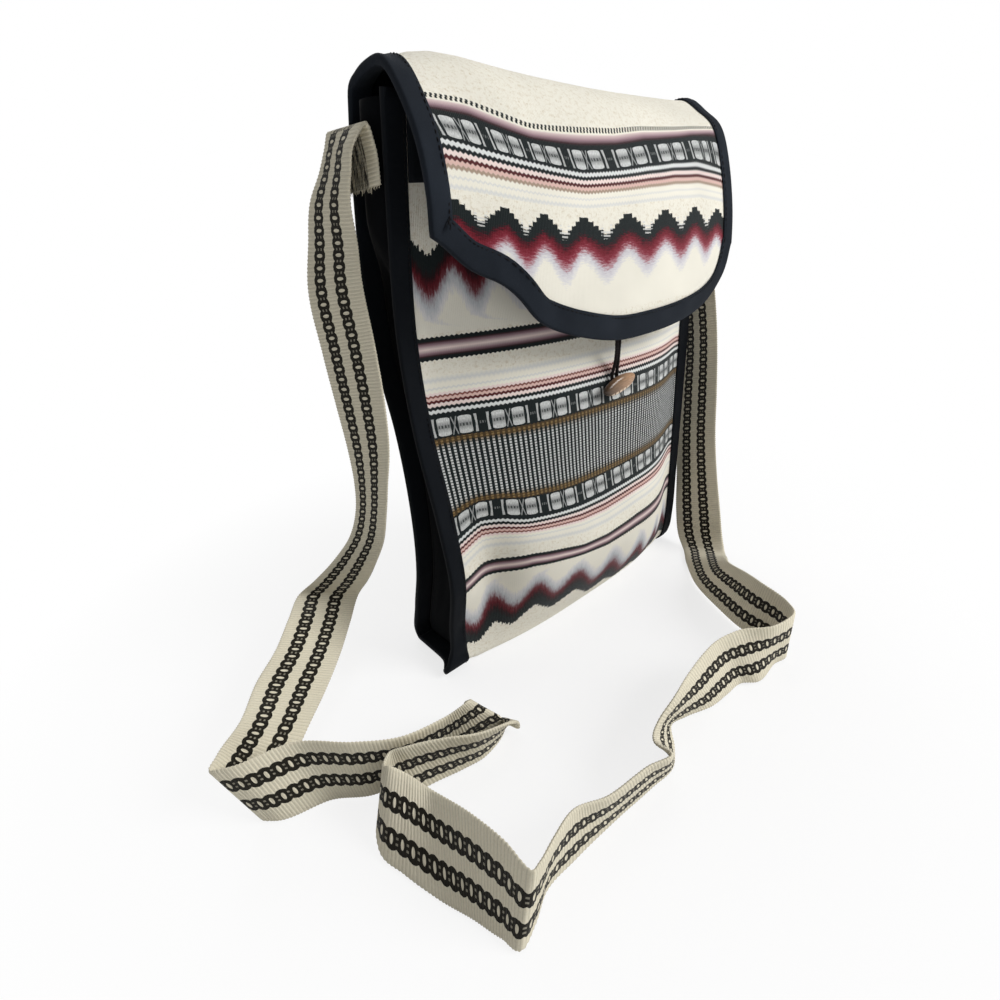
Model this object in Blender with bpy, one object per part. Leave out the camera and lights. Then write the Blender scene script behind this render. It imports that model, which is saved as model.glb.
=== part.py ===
"""A woven crossbody bag with a fold-over flap, black bound edges and a patterned webbing strap.

One long strip of cloth is the front, the bottom, the back and the flap. A surface gives every point of that strip
from two flat sizes: how far across it is, and how far along. The lining, the bindings, the gussets and the mouth's
facing are all laid out on the same surface, so they follow when a size changes.

Sizes are millimetres, made metres as each mesh is built. X runs across the bag, Y to its back, Z up. The origin is
on the floor under the middle of the bag.
"""

import bpy
import numpy as np

for old in list(bpy.data.objects):
    bpy.data.objects.remove(old, do_unlink=True)

MM = 0.001

# Cloth, lining and the seams
BAG_WIDTH = 233.0
MOUTH_HEIGHT = 304.0
CREST_HEIGHT = 320.5
CLOTH = 1.0
LINING = 0.5
TAPE = 0.6
SEAM_GAP = 0.4
PLY_GAP = 0.3
GUSSET_GAP = 1.5
GUSSET_CORNER = 2.0
SIDE_TAPE = 10.5
FLAP_TAPE = 13.5
FACING_OUTSIDE = 40.0
FACING_INSIDE = 12.0

# How the panels swell, and how far the bottom's edges are lifted for the tape under them
DENT_ACROSS = -87.0
DENT_WIDTH = 13.0
DENT_LENGTH = 34.0
DENT_DEPTH = 9.0
EDGE_LIFT = 1.6
LIFT_START = 97.0
LIFT_WIDTH = 8.0
LIFT_HEIGHT = 14.0

# Gussets
GUSSET = 1.2
GUSSET_PUFF = 11.3
GUSSET_PUFF_FROM = 215.0
GUSSET_PUFF_TO = 262.0
GUSSET_HOLLOW = 4.0
GUSSET_FOLD = 1.6

# Strap
STRAP_WIDTH = 40.0
STRAP = 1.6
STRAP_REST = 1.0

# Toggle button and its loop
BUTTON_ACROSS = 5.5
BUTTON_HEIGHT = 165.0
BUTTON_LENGTH = 22.0
BUTTON_WIDTH = 11.0
BUTTON_THICKNESS = 5.0
BUTTON_TILT = 25.0
BUTTON_STANDOFF = 3.6
LOOP_CORD = 2.2
LOOP_ACROSS = 1.5
LOOP_SPREAD = 2.6
LOOP_DROP = 4.0
SHANK = 1.6

# Outline points of the strip, as (depth, height) pairs at its left edge, its middle and its right edge. They run
# from the mouth down the front, along the bottom, up the back, over the crest and down the flap.
FRONT_TO_MIDDLE = 27.5
MOUTH_ROW = (-13, MOUTH_HEIGHT, -16, MOUTH_HEIGHT, -9, MOUTH_HEIGHT)
FRONT_ROWS = [
    (-3.5, 260, -16, 260, -9, 260),
    (5, 206, -21, 206, -7, 206),
    (2, 153, -27, 153, -5.5, 153),
    (-8, 108, -28, 108, -4, 108),
    (-13, 66, -34, 66, -2.5, 66),
    (-5, 30, -27, 30, -1, 30),
    (-4, 12, -16, 12, 1.5, 12),
]
DENT_ROW = 5
BOTTOM_ROWS = [
    (-4.5, 4, -9, 4, 5, 4),
    (-1, 0, -5, 0, 9, 0),
    (20, 0, 26, 0, 26, 0),
    (41, 0, 50, 0, 42, 0),
    (44, 4.5, 55, 4.5, 45, 4.5),
]
BACK_ROWS = [
    (38, 30, 56, 30, 38, 30),
    (28, 60, 50, 60, 28, 60),
    (22, 119, 44, 119, 22, 119),
    (25, 155, 46, 155, 25, 155),
    (33, 190, 51, 190, 33, 190),
    (34, 232, 51, 232, 34, 232),
    (27, 271, 42, 271, 27, 271),
    (18, MOUTH_HEIGHT - 1, 32, MOUTH_HEIGHT - 1, 22, MOUTH_HEIGHT - 1),
]
CREST_ROWS = [
    (15, CREST_HEIGHT - 10, 30, CREST_HEIGHT - 7, 22, CREST_HEIGHT - 8),
    (7, CREST_HEIGHT - 6.5, 17, CREST_HEIGHT, 13, CREST_HEIGHT - 3),
    (-3, CREST_HEIGHT - 5, 0, CREST_HEIGHT - 1, 1, CREST_HEIGHT - 2),
    (-14, CREST_HEIGHT - 6, -16, CREST_HEIGHT - 7.5, -10.5, CREST_HEIGHT - 10.5),
]
FLAP_ROWS = [
    (-27, 300, -33, 292, -23, 297),
    (-34.5, 284, -38, 273, -29, 278),
    (-37.5, 267, -41, 254, -33, 256),
    (-36.5, 249, -42, 232, -34.5, 234),
    (-36, 229, -42, 211, -34, 213),
    (-36, 209, -41, 190, -30, 193),
    (-36, 189, -40, 169, -25, 173),
]
STRIP_ROWS = [MOUTH_ROW, *FRONT_ROWS, *BOTTOM_ROWS, *BACK_ROWS, *CREST_ROWS, *FLAP_ROWS]

# The flap's lower edge seen from the front, as (across, height). Its left corner is cut away.
FLAP_LEFT_CORNER = 251.0
FLAP_RIGHT_CORNER = 240.0
FLAP_EDGE = [
    (-108, 243.5), (-96, 235), (-83, 227), (-73, 219), (-61, 209), (-47, 204), (-24, 197.5), (-3, 192.5),
    (20, 192), (45, 192.5), (66, 195), (86, 199), (100, 206), (109, 217),
]

# Both edges of the strap, from the tail on the left gusset to the tail on the right one: edge A, then edge B.
STRAP_LEFT_ROUTE = [
    ((-118.9, 6, 272), (-118.9, -33, 272)),
    ((-118.9, 6, 289), (-118.9, -33, 287)),
    ((-120.7, 5.5, 297), (-121.2, -33, 294)),
    ((-122.6, 7.5, 291), (-128, -32, 287)),
    ((-125, 13, 282), (-129, -27, 277)),
    ((-130, 18, 271), (-130, -21, 267)),
    ((-135, 22, 252), (-131, -18, 250)),
    ((-139, 23, 235), (-132, -17, 236)),
    ((-139, 23, 199), (-130, -16, 204)),
    ((-138, 22, 172), (-130, -17, 176)),
    ((-135, 23, 141), (-131, -16, 148)),
    ((-134, 26, 122), (-131, -13, 131)),
    ((-135, 30, 103), (-133, -9, 113)),
    ((-141, 36, 83), (-135, -2, 92)),
    ((-151, 44, 68), (-138, 7, 76)),
    ((-164, 53, 54), (-140, 22, 57)),
    ((-175, 60, 44), (-144, 35, 41)),
    ((-189, 37, 46), (-154, 31, 28)),
    ((-206, 16, 42), (-172, 12, 21)),
    ((-222, 0, 40), (-189, -5, 17)),
    ((-237, -24, 41), (-209, -23, 13)),
    ((-252, -35, 38), (-236, -44, 3)),
]
STRAP_FLOOR_ROUTE = [
    ((-256.5, -40, 37), (-244, -49, 0.9)),
    ((-251, -45, 38), (-240, -54, 0.9)),
    ((-221, -54, 38.6), (-214, -63, 0.9)),
    ((-201, -75, 40), (-197, -75, 0.9)),
    ((-183, -87, 39), (-178, -80, 0.9)),
    ((-161, -91, 38), (-156, -83, 0.9)),
    ((-144, -88.5, 36), (-120, -92, 4)),
    ((-141, -79, 25), (-119, -96, 4)),
    ((-131, -74, 9), (-121, -99, 11)),
    ((-124, -84, 2.5), (-130, -106, 24)),
    ((-142, -95, 0.9), (-154, -108, 35.8)),
    ((-156, -93.5, 0.9), (-169, -100, 37.6)),
    ((-174, -89.5, 0.9), (-184, -92.5, 38)),
    ((-192, -87.5, 0.9), (-190.5, -89.5, 37)),
    ((-205, -93, 0.9), (-195, -93, 35.5)),
    ((-209, -103, 0.9), (-193.5, -95, 36)),
    ((-206, -119, 0.9), (-188, -101, 31.3)),
    ((-201, -136, 0.9), (-183, -110, 26)),
    ((-194, -154, 0.9), (-179, -137, 33)),
    ((-190, -166, 0.9), (-178, -158, 38)),
    ((-186, -174, 0.9), (-178, -174, 39.5)),
    ((-178, -171, 0.9), (-174, -174, 40)),
    ((-166, -165, 0.9), (-164, -171, 40)),
    ((-147, -164, 0.9), (-151, -168, 40)),
    ((-120, -164, 0.9), (-134, -172, 36.7)),
    ((-95, -165, 0.9), (-111, -174, 36)),
    ((-78, -165, 0.9), (-97, -176, 34.5)),
    ((-68, -159, 0.9), (-94, -165, 30.5)),
    ((-56, -149, 0.9), (-82, -159, 30.3)),
    ((-46, -151, 0.9), (-69, -158, 34.9)),
    ((-29, -157, 0.9), (-49, -153, 34.5)),
    ((-16, -158, 0.9), (-31, -151, 36.6)),
    ((-2, -159, 0.9), (-16, -151, 37.2)),
    ((6, -165, 0.9), (-3, -155, 38)),
    ((26, -164, 0.9), (14, -167, 38.4)),
    ((38, -165, 0.9), (31, -169, 39.5)),
    ((42, -155, 0.9), (38, -162, 39.5)),
    ((44, -134, 0.9), (47, -141, 39.5)),
    ((55, -109, 0.9), (56, -126, 36.5)),
    ((67, -87, 0.9), (66, -111, 31.7)),
    ((90, -62, 0.9), (90, -95, 20)),
    ((110, -45, 0.9), (112, -81, 11)),
]
STRAP_RIGHT_ROUTE = [
    ((117, -36, 6), (120, -74, 17)),
    ((121, -29.5, 29), (124, -67, 42)),
    ((127, -24.5, 52), (125.5, -62, 64)),
    ((133, -19, 90), (126, -57, 100)),
    ((134, -18, 120), (125, -56, 130)),
    ((135, -17, 172), (121.5, -54, 179)),
    ((132, -7, 226), (124, -44, 231)),
    ((128, 1, 268), (124, -38, 267)),
    ((124.5, 7, 288), (123.5, -34, 286)),
    ((120.7, 5.5, 297), (121.2, -33, 294)),
    ((118.9, 6, 289), (118.9, -33, 287)),
    ((118.9, 6, 272), (118.9, -33, 272)),
]
STRAP_ROUTE = [*STRAP_LEFT_ROUTE, *STRAP_FLOOR_ROUTE, *STRAP_RIGHT_ROUTE]

# Worked out from the sizes above
HALF_CLOTH = BAG_WIDTH / 2 - TAPE - SEAM_GAP
HALF_GUSSET = BAG_WIDTH / 2 - SIDE_TAPE
LINING_TOP = CLOTH + PLY_GAP
PLIES = LINING_TOP + LINING
FLAP_PARTS = 5
TAPE_OUT = SEAM_GAP + TAPE
TAPE_IN = PLIES + SEAM_GAP + TAPE
SEWN_IN = TAPE_IN + GUSSET_GAP


def spline(points, knots, at):
    """Smooth curve through points: cubics whose slope at a point is the parabola's through it and its neighbours."""
    points = np.asarray(points, float)
    at = np.asarray(at, float)
    steps = np.diff(knots)
    chords = np.diff(points, axis=0) / steps[:, None]
    inner = (steps[1:, None] * chords[:-1] + steps[:-1, None] * chords[1:]) / (steps[1:] + steps[:-1])[:, None]
    slopes = np.concatenate([chords[:1], inner, chords[-1:]])
    index = np.clip(np.searchsorted(knots, at) - 1, 0, len(steps) - 1)
    size = steps[index][..., None]
    part = (at - knots[index])[..., None] / size
    rest = 1 - part
    return (
        (1 + 2 * part) * rest**2 * points[index]
        + part * rest**2 * size * slopes[index]
        + part**2 * (3 - 2 * part) * points[index + 1]
        - part**2 * rest * size * slopes[index + 1]
    )


def lengths(points):
    """Distance along a row of points, from its first."""
    return np.concatenate([[0], np.cumsum(np.linalg.norm(np.diff(points, axis=0), axis=1))])


def smooth(value):
    """0 below 0, 1 above 1, and an even S between."""
    value = np.clip(value, 0, 1)
    return value * value * (3 - 2 * value)


STRIP_KNOTS = lengths(np.asarray(STRIP_ROWS, float)[:, 2:4])
DENT_ALONG = STRIP_KNOTS[DENT_ROW]
BOTTOM_ALONG = STRIP_KNOTS[1 + len(FRONT_ROWS)]
BACK_ALONG = STRIP_KNOTS[len(FRONT_ROWS) + len(BOTTOM_ROWS)]
CREST_ALONG = STRIP_KNOTS[-len(FLAP_ROWS) - len(CREST_ROWS)]
FLAP_ALONG = STRIP_KNOTS[-len(FLAP_ROWS) + 1]


def strip(across, along):
    """Outside face of the cloth at flat places: edges joined by a straight line, with the middle's swell added by
    one less the cube of the distance from the middle to the tapes, to the power 1.5, a dent beside the left tape, and
    the bottom's sides lifted."""
    across, along = np.broadcast_arrays(np.asarray(across, float), np.asarray(along, float))
    rows = spline(STRIP_ROWS, STRIP_KNOTS, along)
    left, middle, right = rows[..., 0:2], rows[..., 2:4], rows[..., 4:6]
    share = (0.5 + across / HALF_CLOTH / 2)[..., None]
    swell = ((1 - np.minimum(np.abs(across) / HALF_GUSSET, 1) ** 3) ** 1.5)[..., None]
    place = left + (right - left) * share + (middle - (left + right) / 2) * swell
    dent = DENT_DEPTH * np.exp(
        -(((across - DENT_ACROSS) / DENT_WIDTH) ** 2) - ((along - DENT_ALONG) / DENT_LENGTH) ** 2
    )
    height = np.maximum(place[..., 1], 0)
    low = np.clip(1 - height / LIFT_HEIGHT, 0, 1)
    lift = EDGE_LIFT * smooth((np.abs(across) - LIFT_START) / LIFT_WIDTH) * low
    return np.stack([across, place[..., 0] + dent - FRONT_TO_MIDDLE, height + lift], -1)


def out_of_strip(across, along):
    """Unit vector out of the strip: its slope along it, times its slope across it."""
    reach = 0.5
    down = strip(across, along + reach) - strip(across, along - reach)
    wide = strip(across + reach, along) - strip(across - reach, along)
    out = np.cross(down, wide)
    return out / np.linalg.norm(out, axis=-1, keepdims=True)


def layer(across, along, out):
    """Points at a height out of the strip; a minus height is towards the inside of the bag."""
    across, along, out = np.broadcast_arrays(across, along, out)
    return strip(across, along) + out_of_strip(across, along) * out[..., None]


def along_at_height(across, height):
    """How far along the flap a height is met, at each place across it."""
    tries = np.linspace(FLAP_ALONG - 40, STRIP_KNOTS[-1] + 10, 160)
    heights = strip(np.asarray(across, float)[:, None], tries[None, :])[..., 2]
    return np.array([np.interp(-want, -row, tries) for want, row in zip(height, heights)])


def flap_outline(step):
    """The flap's cloth edge in flat places, from the left side to the right, about a step apart."""
    corners = [(-HALF_CLOTH, FLAP_LEFT_CORNER), *FLAP_EDGE, (HALF_CLOTH, FLAP_RIGHT_CORNER)]
    knots = lengths(np.asarray(corners, float))
    at = np.linspace(0, knots[-1], int(knots[-1] / step) + 1)
    across, height = spline(corners, knots, at).T
    across = np.clip(across, -HALF_CLOTH, HALF_CLOTH)
    return across, along_at_height(across, height)


def material(name, colour, roughness):
    made = bpy.data.materials.new(name)
    made.use_nodes = True
    shader = made.node_tree.nodes["Principled BSDF"]
    shader.inputs["Base Color"].default_value = (*colour, 1)
    shader.inputs["Roughness"].default_value = roughness
    made.diffuse_color = (*colour, 1)
    return made


def add_mesh(name, points, faces, finish):
    mesh = bpy.data.meshes.new(name)
    mesh.from_pydata((points * MM).tolist(), [], faces)
    mesh.validate()
    mesh.materials.append(finish)
    mesh.shade_smooth()
    mesh.set_sharp_from_angle(angle=np.radians(40))
    made = bpy.data.objects.new(name, mesh)
    bpy.context.scene.collection.objects.link(made)
    return made


def loft(name, rings, finish):
    """A solid skinned over closed rings of points. Each ring runs out along one line and back along another, and
    the two ends are closed by faces across from one line to the other. Four corners are cut along the same slant
    on both lines, so that plies laid out on one grid keep their gap."""
    rings = np.asarray(rings, float)
    count, size = rings.shape[:2]
    grid = np.arange(count * size).reshape(count, size)
    turned = np.roll(grid, -1, axis=1)
    half = size // 2
    quads = np.stack([grid[:-1], grid[1:], turned[1:], turned[:-1]], -1)
    out, back = quads[:, :half].reshape(-1, 4), quads[:, half:].reshape(-1, 4)
    near = np.arange(half - 1)
    lid = np.stack([near, near + 1, size - 2 - near, size - 1 - near], -1)
    one_way = np.concatenate([out, grid[0][lid], grid[-1][lid[:, ::-1]]])
    faces = np.concatenate([one_way[:, [0, 1, 2]], one_way[:, [0, 2, 3]], back[:, [0, 1, 3]], back[:, [1, 2, 3]]])
    points = rings.reshape(-1, 3)
    corners = points[faces]
    if np.einsum("ij,ij->i", corners[:, 0], np.cross(corners[:, 1], corners[:, 2])).sum() < 0:
        faces = faces[:, ::-1]
    return add_mesh(name, points, faces.tolist(), finish)


def sheet(name, top, bottom, finish):
    """A solid between two grids of points."""
    return loft(name, np.concatenate([top, bottom[:, ::-1]], axis=1), finish)


def turn_rows(first, last):
    """Places along the strip for the rows of its mesh: closer where the middle's outline bends."""
    longest, most_turn = 24.0, np.radians(20)
    inside = STRIP_KNOTS[(STRIP_KNOTS > first + 1) & (STRIP_KNOTS < last - 1)]
    stops = [first, *inside, last]
    rows = []
    for start, end in zip(stops[:-1], stops[1:]):
        fine = strip(np.zeros(9), np.linspace(start, end, 9))
        ways = np.diff(fine, axis=0)
        angles = np.arctan2(ways[:, 2], ways[:, 1])
        turn = np.abs(np.diff(np.unwrap(angles))).sum()
        parts = int(max(1, np.ceil((end - start) / longest), np.ceil(turn / most_turn)))
        rows += [start + (end - start) * k / parts for k in range(parts)]
    return np.array([*rows, last])


def strip_rows():
    """The strip's own rows: down the facing, then on to the flap."""
    return np.array([*turn_rows(0.0, FACING_OUTSIDE)[:-1], *turn_rows(FACING_OUTSIDE, FLAP_ALONG)])


def cloth_grid():
    """Flat places of the cloth's mesh: fixed rows to the flap, then rows that end on the flap's shaped edge."""
    seam = HALF_GUSSET
    middle = np.linspace(-LIFT_START, LIFT_START, 9)
    under_tape = (seam + HALF_CLOTH) / 2
    across = np.array([-HALF_CLOTH, -under_tape, -seam, *middle, seam, under_tape, HALF_CLOTH])
    edge_across, edge_along = flap_outline(4)
    inset = 1.5
    ends = np.interp(across, edge_across, edge_along) - inset
    fixed = strip_rows()
    parts = np.arange(1, FLAP_PARTS + 1)[:, None] / FLAP_PARTS
    loose = FLAP_ALONG + (ends - FLAP_ALONG)[None, :] * parts
    along = np.concatenate([np.repeat(fixed[:, None], len(across), 1), loose])
    return np.broadcast_to(across, along.shape), along


def make_cloth(woven, cotton):
    across, along = cloth_grid()
    sheet("body_cloth", layer(across, along, 0.0), layer(across, along, -CLOTH), woven)
    sheet("lining", layer(across, along, -LINING_TOP), layer(across, along, -PLIES), cotton)


def make_edge_binding(tape):
    """One tape round the strip: up both sides and along the flap's edge. Its section is a folded U of two leaves.
    Inward is across the path in the flat, so the leaves turn the flap's corners with it."""
    fixed = strip_rows()
    edge_across, edge_along = flap_outline(9)
    sides = []
    for end in (edge_along[0], edge_along[-1]):
        loose = np.linspace(FLAP_ALONG, end, FLAP_PARTS + 1)[1:-1]
        sides.append(np.array([-TAPE_OUT, *fixed[1:], *loose]))
    left, right = sides
    across = np.concatenate([np.full(len(left), -HALF_CLOTH), edge_across, np.full(len(right), HALF_CLOTH)])
    along = np.concatenate([left, edge_along, right[::-1]])
    path = np.stack([across, along], -1)
    ways = np.diff(path, axis=0)
    ways /= np.linalg.norm(ways, axis=1, keepdims=True)
    way = np.concatenate([ways[:1], ways[1:] + ways[:-1], ways[-1:]])
    way /= np.linalg.norm(way, axis=1, keepdims=True)
    inward = np.stack([way[:, 1], -way[:, 0]], -1)
    width = SIDE_TAPE + (FLAP_TAPE - SIDE_TAPE) * way[:, 0] ** 2 - TAPE_OUT
    section = [
        (1, 0, -TAPE_IN), (0.5, 0, -TAPE_IN), (0, -TAPE_OUT, -TAPE_IN),
        (0, -TAPE_OUT, TAPE_OUT), (0.5, 0, TAPE_OUT), (1, 0, TAPE_OUT),
        (1, 0, SEAM_GAP), (0.5, 0, SEAM_GAP), (0, -SEAM_GAP, SEAM_GAP),
        (0, -SEAM_GAP, -PLIES - SEAM_GAP), (0.5, 0, -PLIES - SEAM_GAP), (1, 0, -PLIES - SEAM_GAP),
    ]
    rings = []
    for leaf, shift, out in section:
        place = path + inward * (leaf * width + shift)[:, None]
        rings.append(layer(place[:, 0], place[:, 1], out))
    loft("edge_binding", np.stack(rings, 1), tape)


def make_mouth_binding(tape):
    """The wide black facing folded over the front's top edge, between the side tapes."""
    end = HALF_GUSSET - SEAM_GAP
    across = np.array([-end, *np.linspace(-LIFT_START, LIFT_START, 9), end])
    rows = turn_rows(0.0, FACING_OUTSIDE)[1:]
    section = [
        (FACING_INSIDE, -TAPE_IN), (-TAPE_OUT, -TAPE_IN), (-TAPE_OUT, TAPE_OUT),
        *((along, TAPE_OUT) for along in rows), *((along, SEAM_GAP) for along in rows[::-1]),
        (-SEAM_GAP, SEAM_GAP), (-SEAM_GAP, -PLIES - SEAM_GAP), (FACING_INSIDE, -PLIES - SEAM_GAP),
    ]
    rings = [layer(across, along, out) for along, out in section]
    loft("mouth_binding", np.stack(rings, 1), tape)


def seam_line(side, first, last, heights):
    """Depth of the inside of a seam at each height, on the front or on the back."""
    along = np.linspace(first, last, 200)
    line = layer(np.full(200, side * (HALF_GUSSET + GUSSET)), along, -SEWN_IN)
    order = np.argsort(line[:, 2])
    return np.interp(heights, line[order, 2], line[order, 1])


def make_gusset(name, side, cotton):
    """A side panel from the front seam to the back seam. It is drawn in along its middle with soft upright folds,
    and swells out near the mouth, where the strap is sewn on."""
    floor = EDGE_LIFT + SEWN_IN + PLY_GAP
    heights = np.concatenate([floor + np.array([0, 1.2, 3, 6, 10]), np.linspace(24, MOUTH_HEIGHT, 19)])
    front = seam_line(side, 0, BOTTOM_ALONG, heights)
    back = seam_line(side, BACK_ALONG, CREST_ALONG, heights)
    corner = GUSSET_CORNER * (1 - smooth((heights - floor) / 8))
    front, back = front + corner, back - corner
    share = np.linspace(0, 1, 9)[None, :]
    depth = front[:, None] + (back - front)[:, None] * share
    height = np.repeat(heights[:, None], share.shape[1], 1)
    arch = np.sin(np.pi * share) ** 0.8
    puffed = smooth((height - GUSSET_PUFF_FROM) / (GUSSET_PUFF_TO - GUSSET_PUFF_FROM))
    drawn = smooth(height / 40) * (1 - puffed)
    folds = GUSSET_FOLD * np.sin(3 * np.pi * share) * drawn
    swell = GUSSET_PUFF * arch * puffed - GUSSET_HOLLOW * arch * drawn + folds
    middle = side * (HALF_GUSSET + swell)
    outer, inner = (np.stack([middle + side * way * GUSSET / 2, depth, height], -1) for way in (1, -1))
    sheet(name, outer, inner, cotton)


def make_strap(webbing):
    """Flat webbing carried along its two edges. Its face is square to the edge-to-edge line and to the way it
    runs, and each stretch between chosen points is cut finer than half of the strap's width."""
    route = np.asarray(STRAP_ROUTE, float).reshape(-1, 6)
    middles = (route[:, :3] + route[:, 3:]) / 2
    knots = lengths(middles)
    longest = STRAP_WIDTH * 0.4
    at = [
        start + (end - start) * k / parts
        for start, end in zip(knots[:-1], knots[1:])
        for parts in [max(1, round((end - start) / longest))]
        for k in range(parts)
    ]
    at = np.array([*at, knots[-1]])
    edges = spline(route, knots, at)
    edges[:, [2, 5]] = np.maximum(edges[:, [2, 5]], STRAP_REST)
    share = np.linspace(0, 1, 3)[None, :, None]
    middle = edges[:, None, :3] * (1 - share) + edges[:, None, 3:] * share
    ahead = spline(route, knots, np.minimum(at + 1, knots[-1])) - spline(route, knots, np.maximum(at - 1, 0))
    ahead = ahead[:, None, :3] * (1 - share) + ahead[:, None, 3:] * share
    out = np.cross(ahead, (edges[:, 3:] - edges[:, :3])[:, None, :])
    out /= np.linalg.norm(out, axis=-1, keepdims=True)
    sheet("shoulder_strap", middle + out * STRAP / 2, middle - out * STRAP / 2, webbing)


def make_button_and_loop(wood, cord, thread):
    """An oval button on a short shank of thread in front of the cloth, and a cord loop that hangs from behind the
    flap's edge and passes behind the button, round its shank."""
    tries = np.linspace(0, BOTTOM_ALONG, 300)
    cloth = strip(np.full(300, BUTTON_ACROSS), tries)
    face = np.interp(-BUTTON_HEIGHT, -cloth[:, 2], cloth[:, 1])
    back = face - BUTTON_STANDOFF
    tilt = np.radians(BUTTON_TILT)

    turns = np.linspace(0, 2 * np.pi, 20, endpoint=False)
    profile = [(0.55, 0.0), (0.9, 0.2), (1.0, 0.5), (0.9, 0.8), (0.55, 1.0)]
    rings = []
    for share, height in profile:
        long_way = BUTTON_LENGTH / 2 * share * np.cos(turns)
        short_way = BUTTON_WIDTH / 2 * share * np.sin(turns)
        across = BUTTON_ACROSS + long_way * np.cos(tilt) - short_way * np.sin(tilt)
        up = BUTTON_HEIGHT + long_way * np.sin(tilt) + short_way * np.cos(tilt)
        rings.append(np.stack([across, np.full(20, back - height * BUTTON_THICKNESS), up], -1))
    loft("toggle_button", rings, wood)

    shank_gap = PLY_GAP
    shank = [
        np.stack([BUTTON_ACROSS + SHANK / 2 * np.cos(turns[::2]), np.full(10, y), BUTTON_HEIGHT + SHANK / 2 * np.sin(turns[::2])], -1)
        for y in (face - shank_gap, back + shank_gap)
    ]
    loft("button_thread", shank, thread)

    edge_across, edge_along = flap_outline(4)
    lip = float(np.interp(LOOP_ACROSS, edge_across, edge_along))
    hidden = layer(np.array([LOOP_ACROSS]), np.array([lip - 8]), -TAPE_IN - SEAM_GAP - LOOP_CORD / 2)[0]
    under = layer(np.array([LOOP_ACROSS]), np.array([lip + 2]), -TAPE_IN - SEAM_GAP - LOOP_CORD / 2)[0]
    behind = face - BUTTON_STANDOFF / 2
    low = BUTTON_HEIGHT - LOOP_DROP
    half = [
        (hidden[0] - 2, hidden[1], hidden[2]),
        (under[0] - 2, under[1], under[2]),
        (BUTTON_ACROSS - LOOP_SPREAD, behind - 2.5, BUTTON_HEIGHT + 13),
        (BUTTON_ACROSS - LOOP_SPREAD, behind, BUTTON_HEIGHT + 4),
        (BUTTON_ACROSS - LOOP_SPREAD * 0.7, behind, low + 1),
        (BUTTON_ACROSS, behind, low - 1),
    ]
    other = [(2 * BUTTON_ACROSS - x, y, z) for x, y, z in half[2:-1]]
    ends = [(hidden[0] + 2, under[1], under[2]), (hidden[0] + 2, hidden[1], hidden[2])]
    path = np.array([*half, *other[::-1], *ends])
    knots = lengths(path)
    at = np.linspace(0, knots[-1], 34)
    line = spline(path, knots, at)
    way = spline(path, knots, np.minimum(at + 0.3, knots[-1])) - spline(path, knots, np.maximum(at - 0.3, 0))
    way /= np.linalg.norm(way, axis=1, keepdims=True)
    forward = np.array([0.0, -1.0, 0.0])
    side = np.cross(way, forward)
    side /= np.linalg.norm(side, axis=1, keepdims=True)
    third = np.cross(way, side)
    round_way = np.linspace(0, 2 * np.pi, 8, endpoint=False)
    tube = line[:, None] + LOOP_CORD / 2 * (
        side[:, None] * np.cos(round_way)[None, :, None] + third[:, None] * np.sin(round_way)[None, :, None]
    )
    loft("button_loop", tube, cord)


def main():
    woven = material("woven_cloth", (0.80, 0.76, 0.68), 0.9)
    black_cotton = material("black_cotton", (0.012, 0.013, 0.018), 0.85)
    black_tape = material("black_tape", (0.016, 0.018, 0.028), 0.8)
    webbing = material("strap_webbing", (0.62, 0.57, 0.46), 0.85)
    wood = material("button_wood", (0.30, 0.17, 0.08), 0.45)
    cord = material("loop_cord", (0.014, 0.014, 0.018), 0.75)
    thread = material("sewing_thread", (0.02, 0.02, 0.025), 0.7)
    make_cloth(woven, black_cotton)
    make_edge_binding(black_tape)
    make_mouth_binding(black_tape)
    make_gusset("left_gusset", -1, black_cotton)
    make_gusset("right_gusset", 1, black_cotton)
    make_strap(webbing)
    make_button_and_loop(wood, cord, thread)


main()
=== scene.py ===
"""Looks of a woven crossbody bag: striped and figured cloth, bound edges, a patterned strap and a toggle.

The cloth is one strip that runs down the front, along the bottom, up the back and over the flap. Every
piece that is sewn to it is laid out on the same surface, by how far across and how far along the strip it
is. Lengths named here are millimetres where they say so, and meshes are metres.
"""

import bpy
import numpy as np
from bpy.props import FloatProperty, FloatVectorProperty, PointerProperty
from mathutils import Matrix


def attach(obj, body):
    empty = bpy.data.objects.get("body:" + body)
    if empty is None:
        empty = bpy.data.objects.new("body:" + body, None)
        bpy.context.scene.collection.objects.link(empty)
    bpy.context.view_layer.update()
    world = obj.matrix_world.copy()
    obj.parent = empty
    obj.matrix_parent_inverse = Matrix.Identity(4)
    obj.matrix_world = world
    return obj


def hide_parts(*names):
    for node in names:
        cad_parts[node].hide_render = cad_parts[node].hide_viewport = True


bl_info = {
    "name": "Woven Crossbody Bag",
    "version": (1, 0, 0),
    "blender": (4, 5, 0),
    "location": "3D View > Sidebar > Woven Bag",
    "description": "Adds the cloth, bindings, strap, toggle and stage of a woven crossbody bag",
    "category": "Add Mesh",
}

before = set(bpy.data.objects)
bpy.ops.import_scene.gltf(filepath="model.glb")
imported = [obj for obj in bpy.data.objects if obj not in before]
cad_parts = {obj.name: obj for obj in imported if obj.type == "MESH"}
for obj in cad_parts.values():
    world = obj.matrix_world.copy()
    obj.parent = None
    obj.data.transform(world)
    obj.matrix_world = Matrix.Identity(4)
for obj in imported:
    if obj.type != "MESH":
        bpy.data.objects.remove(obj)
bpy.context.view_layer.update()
BODY = "root"
MM = 0.001

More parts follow.
